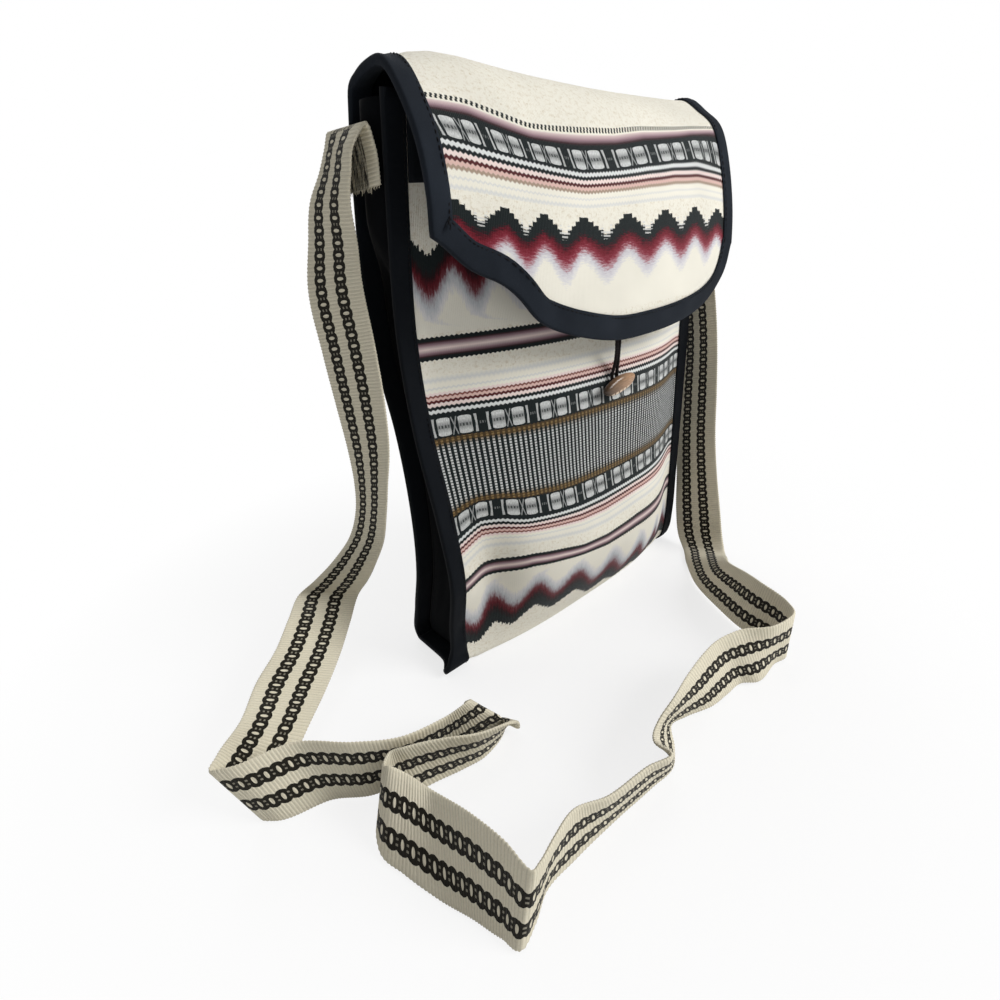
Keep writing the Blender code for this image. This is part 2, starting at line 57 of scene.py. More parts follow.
# Outline of the strip, in millimetres: depth and height at its left edge, its middle and its right edge. It
# runs from the mouth down the front, along the bottom, up the back, over the crest and down the flap.
MOUTH_HEIGHT = 304.0
CREST_HEIGHT = 320.5
STRIP_ROWS = [
    (-13, MOUTH_HEIGHT, -16, MOUTH_HEIGHT, -9, MOUTH_HEIGHT),
    (-3.5, 260, -16, 260, -9, 260),
    (5, 206, -21, 206, -7, 206),
    (2, 153, -27, 153, -5.5, 153),
    (-8, 108, -28, 108, -4, 108),
    (-13, 66, -34, 66, -2.5, 66),
    (-5, 30, -27, 30, -1, 30),
    (-4, 12, -16, 12, 1.5, 12),
    (-4.5, 4, -9, 4, 5, 4),
    (-1, 0, -5, 0, 9, 0),
    (20, 0, 26, 0, 26, 0),
    (41, 0, 50, 0, 42, 0),
    (44, 4.5, 55, 4.5, 45, 4.5),
    (38, 30, 56, 30, 38, 30),
    (28, 60, 50, 60, 28, 60),
    (22, 119, 44, 119, 22, 119),
    (25, 155, 46, 155, 25, 155),
    (33, 190, 51, 190, 33, 190),
    (34, 232, 51, 232, 34, 232),
    (27, 271, 42, 271, 27, 271),
    (18, MOUTH_HEIGHT - 1, 32, MOUTH_HEIGHT - 1, 22, MOUTH_HEIGHT - 1),
    (15, CREST_HEIGHT - 10, 30, CREST_HEIGHT - 7, 22, CREST_HEIGHT - 8),
    (7, CREST_HEIGHT - 6.5, 17, CREST_HEIGHT, 13, CREST_HEIGHT - 3),
    (-3, CREST_HEIGHT - 5, 0, CREST_HEIGHT - 1, 1, CREST_HEIGHT - 2),
    (-14, CREST_HEIGHT - 6, -16, CREST_HEIGHT - 7.5, -10.5, CREST_HEIGHT - 10.5),
    (-27, 300, -33, 292, -23, 297),
    (-34.5, 284, -38, 273, -29, 278),
    (-37.5, 267, -41, 254, -33, 256),
    (-36.5, 249, -42, 232, -34.5, 234),
    (-36, 229, -42, 211, -34, 213),
    (-36, 209, -41, 190, -30, 193),
    (-36, 189, -40, 169, -25, 173),
]
FRONT_TO_MIDDLE = 27.5
DENT_ROW, BOTTOM_ROW, BACK_ROW, CREST_ROW, FLAP_ROW = 5, 8, 12, 21, 26

# Sizes of the cloth and its seams, in millimetres
HALF_CLOTH = 115.5
HALF_GUSSET = 106.0
CLOTH, LINING, TAPE = 1.0, 0.5, 0.6
PLY_GAP, SEAM_GAP = 0.3, 0.4
PLIES = CLOTH + PLY_GAP + LINING
TAPE_OUT = SEAM_GAP + TAPE
TAPE_IN = PLIES + SEAM_GAP + TAPE
SIDE_TAPE, FLAP_TAPE = 10.5, 13.5
FACING_OUTSIDE, FACING_INSIDE = 31.5, 12.0
EAR_ALONG, EAR_LENGTH, EAR_REACH = 310.0, 13.0, 7.5
DENT_ACROSS, DENT_WIDTH, DENT_LENGTH, DENT_DEPTH = -87.0, 13.0, 34.0, 9.0
EDGE_LIFT, LIFT_START, LIFT_WIDTH, LIFT_HEIGHT = 1.6, 97.0, 8.0, 14.0
GUSSET, GUSSET_GAP, GUSSET_CORNER = 1.2, 1.5, 2.0
GUSSET_PUFF, GUSSET_PUFF_FROM, GUSSET_PUFF_TO = 11.3, 215.0, 262.0
GUSSET_HOLLOW, GUSSET_FOLD, GUSSET_CREASE, GUSSET_DRAWN = 4.0, 1.6, 0.5, 40.0
STITCH_INSET, STITCH_RISE = 1.6, 0.28

# Height that the fold at the top gains or loses at places across it, in millimetres
CREST_WAVE_ACROSS = (-112, -104, -96, -84, -72, -60, -46, -30, -10, 10, 35, 60, 85, 100, 112)
CREST_WAVE = (0, 3, 6, 7, 6, 3.6, 1.2, -0.6, -2, -3, -3.4, -3, -2, -1, 0)
CREST_WAVE_ALONG, CREST_WAVE_LENGTH = 706.0, 30.0

# The flap's cloth edge as (across, height), from its left upper corner to its right one, then the length
# over which its turns are softened, how far the cloth ends short of it inside the tape, and the number of
# mesh rows down the flap
FLAP_EDGE = [
    (-HALF_CLOTH, 254), (-108, 245), (-96, 234), (-83, 230), (-73, 222), (-61, 208), (-47, 202), (-24, 195.5),
    (-3, 191.5), (20, 191.5), (45, 192.5), (66, 195), (86, 199), (100, 206), (109, 217), (HALF_CLOTH, 240),
]
FLAP_EDGE_SOFT, CLOTH_SHORT, LOOSE_ROWS = 12.0, 1.5, 30

# How far the woven lines sag below straight ones, in millimetres: rows are places along, columns places
# across
FRONT_SAG_ACROSS = (-105, -90, -78, -65, -45, -28, -5, 28, 60, 100)
FRONT_SAG = {
    150: (0, 0, 0, 0, 0, 0, 0, 0, 0, 0),
    208: (3, -4, -3, 0.5, 2.5, 3.5, 3.5, 2.5, 2.5, 2),
    237: (1.5, -3, -5, -7.5, -3.5, 1, 3, 0.5, 2, 3.5),
    257: (-1, -7, -10, -14, -13, -10, -3, -1, 2, 4),
    285: (1, -4, -7, -14, -13, -14, -3, 1, 5, 6),
    330: (0, 0, 0, 0, 0, 0, 0, 0, 0, 0),
}
FLAP_SAG_ACROSS = (-115, -88, -57, -28, 0, 24, 49, 75, 98, 115)
FLAP_SAG = {
    735: (0, 0, 0, 0, 0, 0, 0, 0, 0, 0),
    765: (-1, -2.5, 3.5, 1.5, 0, -3.5, -5, -6, -5, -4),
    784: (-0.6, 0.4, 1, 2.4, 0, -2.6, -4.1, -3, 1, 4),
    803: (4.5, 3.3, 2.9, 2.4, 0, -1.8, -2.6, -2, 1.5, 4),
}

# The design, in millimetres. It is mirrored about the middle of the front and of the back. On the flap it
# is told from a place just above its first line, and stands FLAP_OFFSET further on, so that one number says
# where a thread lies. Pairs and peaks are the middles of the figures across the flap, and the upper and
# lower peaks are those of the front. From a turn's place on and over its length, the figures go from the
# pairs' places to the peaks' ones.
FIGURE_PITCH = 27.5
FRONT_FIGURE = -94.0
FLAP_PAIRS = (-93.5, -71.5, -51.5, -24.5, 11, 49, 85.5, 108.5)
FLAP_PEAKS = (-104.5, -79, -57.5, -32, 2.5, 36.5, 68.5, 98)
UPPER_PEAKS = (-109, -86, -63.5, -33, 0, 33, 65, 96)
LOWER_PEAKS = (-97.5, -74.5, -49, -14, 21, 54, 84, 110)
FRONT_MIDDLE, BACK_MIDDLE = 173.5, 532.0
FLAP_DESIGN, FLAP_START, FLAP_OFFSET = 735.0, 755.0, 300.0
FLAP_TURN_FROM, FLAP_TURN_LENGTH = 786.0, 8.0
FRONT_TURN_FROM, FRONT_TURN_LENGTH = 76.0, 6.0
COLUMN_PITCH, COLUMN_END = 2.87, 20.4
FRONT_LINES_END, STRIPE_START, STRIPE_FROM, STRIPE_TO = 54.0, 61.0, 62.2, 73.8
FRONT_SQUARES, FLAP_SQUARES = (21.6, 31.6), (FLAP_OFFSET + 18.5, FLAP_OFFSET + 26.6)
FRONT_TIPS, FLAP_TIPS, PEAK_REACH = 121.5, FLAP_OFFSET + 48.0, 46.0

# Both edges of the strap, from the tail on the left gusset to the tail on the right one, in millimetres
STRAP_WIDTH, STRAP, STRAP_REST, TAIL_LENGTH = 40.0, 1.6, 1.0, 26.0
STRAP_ROUTE = [
    ((-118.9, 6, 272), (-118.9, -33, 272)),
    ((-118.9, 6, 289), (-118.9, -33, 287)),
    ((-120.7, 5.5, 297), (-121.2, -33, 294)),
    ((-122.6, 7.5, 291), (-128, -32, 287)),
    ((-125, 13, 282), (-129, -27, 277)),
    ((-130, 18, 271), (-128.5, -21, 267)),
    ((-134, 22, 252), (-127, -18, 250)),
    ((-138, 23, 235), (-127.5, -17, 236)),
    ((-138, 23, 199), (-126, -16, 204)),
    ((-137, 22, 172), (-126.5, -17, 176)),
    ((-135, 23, 141), (-128.5, -16, 148)),
    ((-134, 26, 122), (-131, -13, 131)),
    ((-135, 30, 103), (-133, -9, 113)),
    ((-141, 36, 83), (-135, -2, 92)),
    ((-151, 44, 68), (-138, 7, 76)),
    ((-164, 53, 54), (-140, 22, 57)),
    ((-175, 60, 44), (-144, 35, 41)),
    ((-189, 37, 46), (-154, 31, 28)),
    ((-206, 16, 42), (-172, 12, 21)),
    ((-222, 0, 40), (-189, -5, 17)),
    ((-237, -24, 41), (-209, -23, 13)),
    ((-252, -35, 38), (-236, -44, 3)),
    ((-256.5, -40, 37), (-244, -49, 0.9)),
    ((-251, -45, 38), (-240, -54, 0.9)),
    ((-221, -54, 38.6), (-214, -63, 0.9)),
    ((-201, -75, 40), (-197, -75, 0.9)),
    ((-183, -87, 39), (-178, -80, 0.9)),
    ((-161, -91, 38), (-156, -83, 0.9)),
    ((-144, -88.5, 36), (-120, -92, 4)),
    ((-141, -79, 25), (-119, -96, 4)),
    ((-131, -74, 9), (-121, -99, 11)),
    ((-124, -84, 2.5), (-130, -106, 24)),
    ((-142, -95, 0.9), (-154, -108, 35.8)),
    ((-156, -93.5, 0.9), (-169, -100, 37.6)),
    ((-174, -89.5, 0.9), (-184, -92.5, 38)),
    ((-192, -87.5, 0.9), (-190.5, -89.5, 37)),
    ((-205, -93, 0.9), (-195, -93, 35.5)),
    ((-209, -103, 0.9), (-193.5, -95, 36)),
    ((-206, -119, 0.9), (-188, -101, 31.3)),
    ((-201, -136, 0.9), (-183, -110, 26)),
    ((-194, -154, 0.9), (-179, -137, 33)),
    ((-190, -166, 0.9), (-178, -158, 38)),
    ((-186, -174, 0.9), (-178, -174, 39.5)),
    ((-178, -171, 0.9), (-174, -174, 40)),
    ((-166, -165, 0.9), (-164, -171, 40)),
    ((-147, -164, 0.9), (-151, -168, 40)),
    ((-120, -164, 0.9), (-134, -172, 36.7)),
    ((-95, -165, 0.9), (-111, -174, 36)),
    ((-78, -165, 0.9), (-97, -176, 34.5)),
    ((-68, -159, 0.9), (-94, -165, 30.5)),
    ((-56, -149, 0.9), (-82, -159, 30.3)),
    ((-46, -151, 0.9), (-69, -158, 34.9)),
    ((-29, -157, 0.9), (-49, -153, 34.5)),
    ((-16, -158, 0.9), (-31, -151, 36.6)),
    ((-2, -159, 0.9), (-16, -151, 37.2)),
    ((6, -165, 0.9), (-3, -155, 38)),
    ((26, -164, 0.9), (14, -167, 38.4)),
    ((38, -165, 0.9), (31, -169, 39.5)),
    ((42, -155, 0.9), (38, -162, 39.5)),
    ((44, -134, 0.9), (47, -141, 39.5)),
    ((55, -109, 0.9), (56, -126, 36.5)),
    ((67, -87, 0.9), (66, -111, 31.7)),
    ((90, -62, 0.9), (90, -95, 20)),
    ((110, -45, 0.9), (112, -81, 11)),
    ((117, -36, 6), (120, -74, 17)),
    ((121, -29.5, 29), (124, -67, 42)),
    ((127, -24.5, 52), (125.5, -62, 64)),
    ((133, -19, 90), (126, -57, 100)),
    ((134, -18, 120), (125, -56, 130)),
    ((135, -17, 172), (121.5, -54, 179)),
    ((132, -7, 226), (124, -44, 231)),
    ((128, 1, 268), (124, -38, 267)),
    ((124.5, 7, 288), (123.5, -34, 286)),
    ((120.7, 5.5, 297), (121.2, -33, 294)),
    ((118.9, 6, 289), (118.9, -33, 287)),
    ((118.9, 6, 272), (118.9, -33, 272)),
]

# Toggle button and its loop, in millimetres
BUTTON_ACROSS, BUTTON_HEIGHT = 7.5, 163.0
BUTTON_LENGTH, BUTTON_WIDTH, BUTTON_THICKNESS = 27.0, 10.0, 5.0
BUTTON_TILT, BUTTON_STANDOFF = 11.0, 3.6
LOOP_CORD, LOOP_ACROSS, LOOP_SPREAD, LOOP_DROP, LOOP_TWIST = 2.2, 1.0, 2.1, 4.0, 5.2
SHANK = 1.6

# The photograph's camera: place in metres, and turns in radians
CAMERA_PLACE = (-0.2534, -0.2731, 0.2428)
CAMERA_YAW, CAMERA_PITCH, CAMERA_ROLL = 0.652, 0.427, -0.090
CAMERA_LENS, CAMERA_SENSOR = 19.8, 36.0

# The lamps as name, place and width in metres, and power, all turned to the same place in the bag
LAMPS = (
    ("key_lamp", (0.75, -1.3, 1.05), 0.8, 23.0),
    ("top_lamp", (0.1, 0.3, 1.9), 1.4, 7.0),
    ("back_lamp", (0.4, 1.6, 1.0), 1.2, 11.0),
)
LAMP_TARGET = (0.0, -0.05, 0.12)
WORLD_LIGHT = 0.26
FLOOR_REACH, FLOOR_DROP = 3000.0, 0.3


def tint(red, green, blue):
    """A colour as screens show it, from 0 to 255, made linear."""
    part = np.array([red, green, blue], float) / 255
    linear = np.where(part <= 0.04045, part / 12.92, ((part + 0.055) / 1.055) ** 2.4)
    return tuple(float(v) for v in linear)


def toned(shade, gain, lift=0.0):
    """A colour made paler or darker, and no brighter than white."""
    return tuple(min(1.0, v * gain + lift) for v in shade)


def colour_prop(name, description, shade):
    return FloatVectorProperty(
        name=name, description=description, subtype="COLOR", size=3, min=0.0, max=1.0, default=tint(*shade)
    )


def length_prop(name, description, millimetres):
    return FloatProperty(name=name, description=description, unit="LENGTH", min=0.0, default=millimetres * MM)


class BagSizes(bpy.types.PropertyGroup):
    """Lengths that can be changed without touching the shapes that the frame fixes."""

    cloth_step: length_prop("Cloth step", "Distance between the points of the cloth's mesh", 2.6)
    strap_step: length_prop("Strap step", "Distance along the strap between its rows of points", 0.57)
    stitch: length_prop("Stitch", "Length of one stitch along the tapes", 2.2)
    stitch_pitch: length_prop("Stitch pitch", "Distance from one stitch to the next", 3.2)
    thread: length_prop("Thread", "Diameter of the sewing thread", 0.5)
    link: length_prop("Chain link", "Distance from one woven link of the strap to the next", 5.4)
    rib: length_prop("Rib", "Distance from one cross rib of the strap to the next", 1.7)
    yarn: length_prop("Yarn", "Distance from one yarn of the cloth to the next", 0.9)


class BagColours(bpy.types.PropertyGroup):
    """Colours of the yarns and finishes."""

    cream: colour_prop("Cream", "Undyed cloth", (242, 238, 224))
    fleck: colour_prop("Fleck", "Darker hairs in the undyed cloth", (196, 178, 142))
    black: colour_prop("Black", "Black yarn of the figures", (22, 30, 31))
    white: colour_prop("White", "White yarn of the figures", (222, 224, 222))
    red: colour_prop("Dark red", "Dark red yarn", (112, 24, 38))
    pink: colour_prop("Pink", "Pale pink yarn", (238, 220, 214))
    salmon: colour_prop("Salmon", "Salmon yarn", (222, 188, 178))
    mauve: colour_prop("Mauve", "Mauve yarn", (152, 124, 132))
    plum: colour_prop("Plum", "Dark plum yarn", (62, 38, 42))
    gold: colour_prop("Gold", "Gold-brown yarn", (140, 114, 74))
    brown: colour_prop("Brown", "Light brown yarn", (168, 148, 130))
    tape: colour_prop("Tape", "Black cotton tape of the bound edges", (22, 27, 34))
    cotton: colour_prop("Cotton", "Black cotton of the gussets and the lining", (13, 16, 21))
    webbing: colour_prop("Webbing", "Cream webbing of the strap", (229, 222, 200))
    link: colour_prop("Link", "Black yarn of the strap's links", (28, 26, 20))
    wood: colour_prop("Button", "Brown of the toggle button", (158, 124, 94))
    cord: colour_prop("Loop", "Black cord of the loop", (22, 18, 18))


def spline(points, knots, at):
    """A smooth curve. Its slope at a point is that of the parabola through it and its neighbours."""
    points = np.asarray(points, float)
    at = np.asarray(at, float)
    steps = np.diff(knots)
    chords = np.diff(points, axis=0) / steps[:, None]
    pulls = steps[1:, None] * chords[:-1] + steps[:-1, None] * chords[1:]
    inner = pulls / (steps[1:] + steps[:-1])[:, None]
    slopes = np.concatenate([chords[:1], inner, chords[-1:]])
    index = np.clip(np.searchsorted(knots, at) - 1, 0, len(steps) - 1)
    size = steps[index][..., None]
    part = (at - knots[index])[..., None] / size
    rest = 1 - part
    return (
        (1 + 2 * part) * rest**2 * points[index]
        + part * rest**2 * size * slopes[index]
        + part**2 * (3 - 2 * part) * points[index + 1]
        - part**2 * rest * size * slopes[index + 1]
    )


def lengths(points):
    """Distance along a row of points, from its first."""
    return np.concatenate([[0], np.cumsum(np.linalg.norm(np.diff(points, axis=0), axis=1))])


def unit(ways):
    """Vectors made one long."""
    return ways / np.linalg.norm(ways, axis=-1, keepdims=True)


def smooth(value):
    """0 below 0, 1 above 1, and an even S between."""
    value = np.clip(value, 0, 1)
    return value * value * (3 - 2 * value)


def bump(value, middle, width):
    """1 at the middle and a bell curve down to 0 on both sides of it."""
    return np.exp(-(((value - middle) / width) ** 2))


STRIP_KNOTS = lengths(np.asarray(STRIP_ROWS, float)[:, 2:4])
DENT_ALONG, BOTTOM_ALONG, BACK_ALONG, CREST_ALONG, FLAP_ALONG = (
    STRIP_KNOTS[row] for row in (DENT_ROW, BOTTOM_ROW, BACK_ROW, CREST_ROW, FLAP_ROW)
)


def strip(across, along):
    """Outside face of the cloth. A straight line joins its two edges, and the middle's swell fades towards
    the tapes. A dent beside the left tape, a wave at the crest and a lift at the bottom's sides are
    added."""
    across, along = np.broadcast_arrays(np.asarray(across, float), np.asarray(along, float))
    rows = spline(STRIP_ROWS, STRIP_KNOTS, along)
    left, middle, right = rows[..., 0:2], rows[..., 2:4], rows[..., 4:6]
    share = (0.5 + across / HALF_CLOTH / 2)[..., None]
    swell = ((1 - np.minimum(np.abs(across) / HALF_GUSSET, 1) ** 3) ** 1.5)[..., None]
    place = left + (right - left) * share + (middle - (left + right) / 2) * swell
    dent = DENT_DEPTH * bump(across, DENT_ACROSS, DENT_WIDTH) * bump(along, DENT_ALONG, DENT_LENGTH)
    wave = np.interp(across, CREST_WAVE_ACROSS, CREST_WAVE) * bump(along, CREST_WAVE_ALONG, CREST_WAVE_LENGTH)
    height = np.maximum(place[..., 1], 0) + wave
    low = np.clip(1 - height / LIFT_HEIGHT, 0, 1)
    lift = EDGE_LIFT * smooth((np.abs(across) - LIFT_START) / LIFT_WIDTH) * low
    return np.stack([across, place[..., 0] + dent - FRONT_TO_MIDDLE, height + lift], -1)


def out_of_strip(across, along):
    """Unit vector out of the strip, square to its slopes along and across."""
    reach = 0.5
    down = strip(across, along + reach) - strip(across, along - reach)
    wide = strip(across + reach, along) - strip(across - reach, along)
    return unit(np.cross(down, wide))


def layer(across, along, out):
    """Points at a height out of the strip; a minus height is towards the inside of the bag."""
    across, along, out = np.broadcast_arrays(across, along, out)
    return strip(across, along) + out_of_strip(across, along) * out[..., None]


def along_at_height(across, height):
    """How far along the flap a height is met, at each place across it."""
    tries = np.linspace(FLAP_ALONG - 40, STRIP_KNOTS[-1] + 10, 160)
    heights = strip(np.asarray(across, float)[:, None], tries[None, :])[..., 2]
    return np.array([np.interp(-want, -row, tries) for want, row in zip(height, heights)])


def flap_outline(step):
    """The flap's cloth edge in flat places, from the left side to the right, about a step apart. Its turns
    are softened by a mean over a bell curve's width."""
    knots = lengths(np.asarray(FLAP_EDGE, float))
    at = np.linspace(0, knots[-1], int(knots[-1] / step) + 1)
    across, height = spline(FLAP_EDGE, knots, at).T
    across = np.clip(across, -HALF_CLOTH, HALF_CLOTH)
    near = bump(at[:, None], at[None, :], FLAP_EDGE_SOFT)
    height = near @ height / near.sum(1)
    return across, along_at_height(across, height)


def from_table(table, columns, across, along):
    """A value read between the rows and columns of a small table, held at its ends."""
    rows = np.array(sorted(table))
    lines = np.array([np.interp(across, columns, table[row]) for row in rows])
    place = np.clip(np.interp(along, rows, np.arange(len(rows))), 0, len(rows) - 1.001)
    low = place.astype(int)
    part = place - low
    index = np.indices(across.shape)
    return lines[(low, *index)] * (1 - part) + lines[(low + 1, *index)] * part


def figures_between(centres, across):
    """How many figures lie to the left of each place. A centre is the middle of its own figure."""
    order = np.arange(len(centres)) + 0.5
    ends = (centres[0] - FIGURE_PITCH, *centres, centres[-1] + FIGURE_PITCH)
    return np.interp(across, ends, (order[0] - 1, *order, order[-1] + 1))


def design_place(across, along):
    """Where a thread lies in the design, as (figure, line). Lines follow the cloth's sag. Figures stand an
    even pitch apart in the front's squares, and at chosen places in the peaks and on the flap, where the
    cloth is drawn in."""
    on_flap = along > FLAP_DESIGN
    sag = np.where(
        on_flap,
        from_table(FLAP_SAG, FLAP_SAG_ACROSS, across, along),
        from_table(FRONT_SAG, FRONT_SAG_ACROSS, across, along),
    )
    line = along - sag
    mirrored = np.minimum(np.abs(line - FRONT_MIDDLE), np.abs(line - BACK_MIDDLE))
    rows = (FLAP_PAIRS, FLAP_PEAKS, UPPER_PEAKS, LOWER_PEAKS)
    pairs, peaks, upper, lower = (figures_between(centres, across) for centres in rows)
    teeth = np.where(line < FRONT_MIDDLE, upper, lower)
    even_pairs = (across - FRONT_FIGURE) / FIGURE_PITCH + 0.5
    to_peaks = smooth((line - FLAP_TURN_FROM) / FLAP_TURN_LENGTH)
    to_teeth = smooth((mirrored - FRONT_TURN_FROM) / FRONT_TURN_LENGTH)
    on_front = even_pairs + (teeth - even_pairs) * to_teeth
    figure = np.where(on_flap, pairs + (peaks - pairs) * to_peaks, on_front) * FIGURE_PITCH
    place = np.where(on_flap, line - FLAP_START + FLAP_OFFSET, mirrored)
    return figure, place


def mesh_object(name, points, faces, finish, maps=None):
    """An object at the origin whose mesh has these points, in millimetres. Each map gives every point a
    flat place, in metres."""
    mesh = bpy.data.meshes.new(name)
    mesh.from_pydata((np.asarray(points) * MM).tolist(), [], np.asarray(faces).tolist())
    mesh.materials.append(finish)
    mesh.shade_smooth()
    corners = np.zeros(len(mesh.loops), int)
    mesh.loops.foreach_get("vertex_index", corners)
    for label, places in (maps or {}).items():
        layer_data = mesh.uv_layers.new(name=label)
        layer_data.uv.foreach_set("vector", (places.reshape(-1, 2)[corners] * MM).astype(np.float32).ravel())
    piece = bpy.data.objects.new(name, mesh)
    bpy.context.scene.collection.objects.link(piece)
    return piece


def ring_faces(count, size):
    """Four-cornered faces between rings of points one after another, and a lid on each end."""
    grid = np.arange(count * size).reshape(count, size)
    turned = np.roll(grid, -1, axis=1)
    faces = np.stack([grid[:-1], turned[:-1], turned[1:], grid[1:]], -1).reshape(-1, 4)
    half = size // 2
    near = np.arange(half - 1)
    lid = np.stack([near, near + 1, size - 2 - near, size - 1 - near], -1)
    return np.concatenate([faces, grid[0][lid[:, ::-1]], grid[-1][lid]])


def turned_out(points, faces):
    """The faces, turned round if they enclose a negative volume."""
    a, b, c, d = (points[faces[:, k]] for k in range(4))
    volume = sum(np.einsum("ij,ij->i", a, np.cross(*pair)).sum() for pair in ((b, c), (c, d)))
    return faces[:, ::-1] if volume < 0 else faces


def loft(name, rings, finish, maps=None):
    """A closed skin over rings of points; each map holds one flat place a point."""
    rings = np.asarray(rings, float)
    points = rings.reshape(-1, 3)
    faces = turned_out(points, ring_faces(*rings.shape[:2]))
    return mesh_object(name, points, faces, finish, maps)


def two_faced(name, top, bottom, finish, maps=None):
    """A closed sheet between two grids of points, both with the same flat places."""
    rings = np.concatenate([top, bottom[:, ::-1]], axis=1)
    both = {label: np.concatenate([grid, grid[:, ::-1]], axis=1) for label, grid in (maps or {}).items()}
    return loft(name, rings, finish, both)


def tube(centre, side, up, radius, angles):
    """Rings round a line: its own points, plus the radius times the sides' cosine and the ups' sine."""
    turn = side[..., None, :] * np.cos(angles)[:, None] + up[..., None, :] * np.sin(angles)[:, None]
    return centre[..., None, :] + radius[..., None] * turn


def many_tubes(name, points, finish, places):
    """One mesh of short closed tubes, whose points are told by tube, ring and place in the ring."""
    count, rings, size = points.shape[:3]
    faces = ring_faces(rings, size)[None] + (np.arange(count) * rings * size)[:, None, None]
    points = points.reshape(-1, 3)
    faces = turned_out(points, faces.reshape(-1, 4))
    return mesh_object(name, points, faces, finish, {"weave": places})


def seat(piece, slot, *nodes):
    """The piece goes with the bag and stands for the solids whose skin it is, which are hidden. The slot is
    not used.
    """
    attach(piece, BODY)
    if nodes:
        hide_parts(*nodes)
    return piece


class Graph:
    """A material and short calls that add its nodes. Each call gives the socket that the next one reads."""

    def __init__(self, name, roughness, sheen=0.0):
        self.material = bpy.data.materials.new(name)
        self.material.use_nodes = True
        self.tree = self.material.node_tree
        self.shader = self.tree.nodes["Principled BSDF"]
        self.shader.inputs["Roughness"].default_value = roughness
        self.shader.inputs["Sheen Weight"].default_value = sheen
        self.shader.inputs["Sheen Roughness"].default_value = 0.5
        self.shader.inputs["Specular IOR Level"].default_value = 0.12

    def put(self, value, socket):
        if isinstance(value, bpy.types.NodeSocket):
            self.tree.links.new(value, socket)
        elif hasattr(value, "__len__") and len(value) == 3 and socket.type == "RGBA":
            socket.default_value = (*value, 1)
        else:
            socket.default_value = value

    def add(self, kind, *values, **settings):
        node = self.tree.nodes.new(kind)
        for key, setting in settings.items():
            setattr(node, key, setting)
        for value, socket in zip(values, node.inputs):
            if value is not None:
                self.put(value, socket)
        return node

    def math(self, operation, *values):
        return self.add("ShaderNodeMath", *values, operation=operation).outputs[0]

    def plus(self, value, other):
        return self.math("ADD", value, other)

    def minus(self, value, other):
        return self.math("SUBTRACT", value, other)

    def times(self, value, other):
        return self.math("MULTIPLY", value, other)

    def over(self, value, other):
        return self.math("DIVIDE", value, other)

    def less(self, value, limit):
        return self.math("LESS_THAN", value, limit)

    def more(self, value, limit):
        return self.math("GREATER_THAN", value, limit)

    def between(self, value, low, high):
        return self.times(self.more(value, low), self.less(value, high))

    def apart(self, value, other):
        """How far two numbers lie apart."""
        return self.math("ABSOLUTE", self.minus(value, other))

    def chain(self, operation, values):
        """All the values, joined one after another."""
        result = values[0]
        for value in values[1:]:
            result = self.math(operation, result, value)
        return result

    def either(self, *values):
        return self.chain("MAXIMUM", values)

    def both(self, *values):
        return self.chain("MULTIPLY", values)

    def wave(self, value, pitch):
        """0 to 1 and back again over each pitch, in straight lines."""
        return self.over(self.math("PINGPONG", value, pitch / 2), pitch / 2)

    def smooth(self, value):
        """An even S from 0 to 1."""
        doubled = self.times(value, 2.0)
        return self.both(value, value, self.minus(3.0, doubled))

    def blend(self, kind, sockets, values, **settings):
        """A mix node, whose two values and share go to the sockets that its kind reads."""
        node = self.add("ShaderNodeMix", data_type=kind, **settings)
        for value, socket in zip(values, sockets):
            self.put(value, node.inputs[socket])
        return node

    def mix_number(self, share, low, high):
        """One number or the other, or a share of both."""
        return self.blend("FLOAT", (0, 2, 3), (share, low, high)).outputs[0]

    def mix(self, share, low, high, how="MIX"):
        """One colour or the other, or a share of both."""
        return self.blend("RGBA", (0, 6, 7), (share, low, high), blend_type=how).outputs[2]

    def shaded(self, colour, light):
        """A colour times a number."""
        return self.mix(1.0, colour, self.join(light, light, light), "MULTIPLY")

    def ramp(self, value, span, *bands):
        """Colours along a line as long as span, blended between neighbours. A band gives its first and last
        place, or its one place, and its colour."""
        stops = [(place, shade) for *places, shade in bands for place in places]
        node = self.add("ShaderNodeValToRGB", self.over(value, span))
        points = node.color_ramp.elements
        while len(points) < len(stops):
            points.new(0.5)
        for point, (place, shade) in zip(points, stops):
            point.position = place / span
            point.color = (*shade, 1)
        return node.outputs[0]

    def flat(self, label):
        """A map's two places, in millimetres."""
        node = self.add("ShaderNodeUVMap", uv_map=label)
        scaled = self.add("ShaderNodeVectorMath", node.outputs[0], operation="SCALE")
        scaled.inputs["Scale"].default_value = 1 / MM
        parts = self.add("ShaderNodeSeparateXYZ", scaled.outputs[0])
        return parts.outputs[0], parts.outputs[1]

    def join(self, x, y, z=0.0):
        return self.add("ShaderNodeCombineXYZ", x, y, z).outputs[0]

    def stretched(self, x, y, wide, long):
        """A place whose two parts are multiplied, so that a noise on it draws out into threads."""
        return self.join(self.times(x, wide), self.times(y, long))

    def place(self):
        return self.add("ShaderNodeTexCoord").outputs["Object"]

    def noise(self, vector, scale, detail=2.0, roughness=0.5):
        return self.add("ShaderNodeTexNoise", vector, None, scale, detail, roughness).outputs[0]

    def spread(self, value, low, high, new_low=0.0, new_high=1.0):
        return self.add("ShaderNodeMapRange", value, low, high, new_low, new_high).outputs[0]

    def finish(self, colour, height, distance, strength):
        """The material, with its colour and a relief."""
        self.put(colour, self.shader.inputs["Base Color"])
        node = self.add("ShaderNodeBump", strength, distance)
        self.put(height, node.inputs["Height"])
        self.put(node.outputs[0], self.shader.inputs["Normal"])
        return self.material


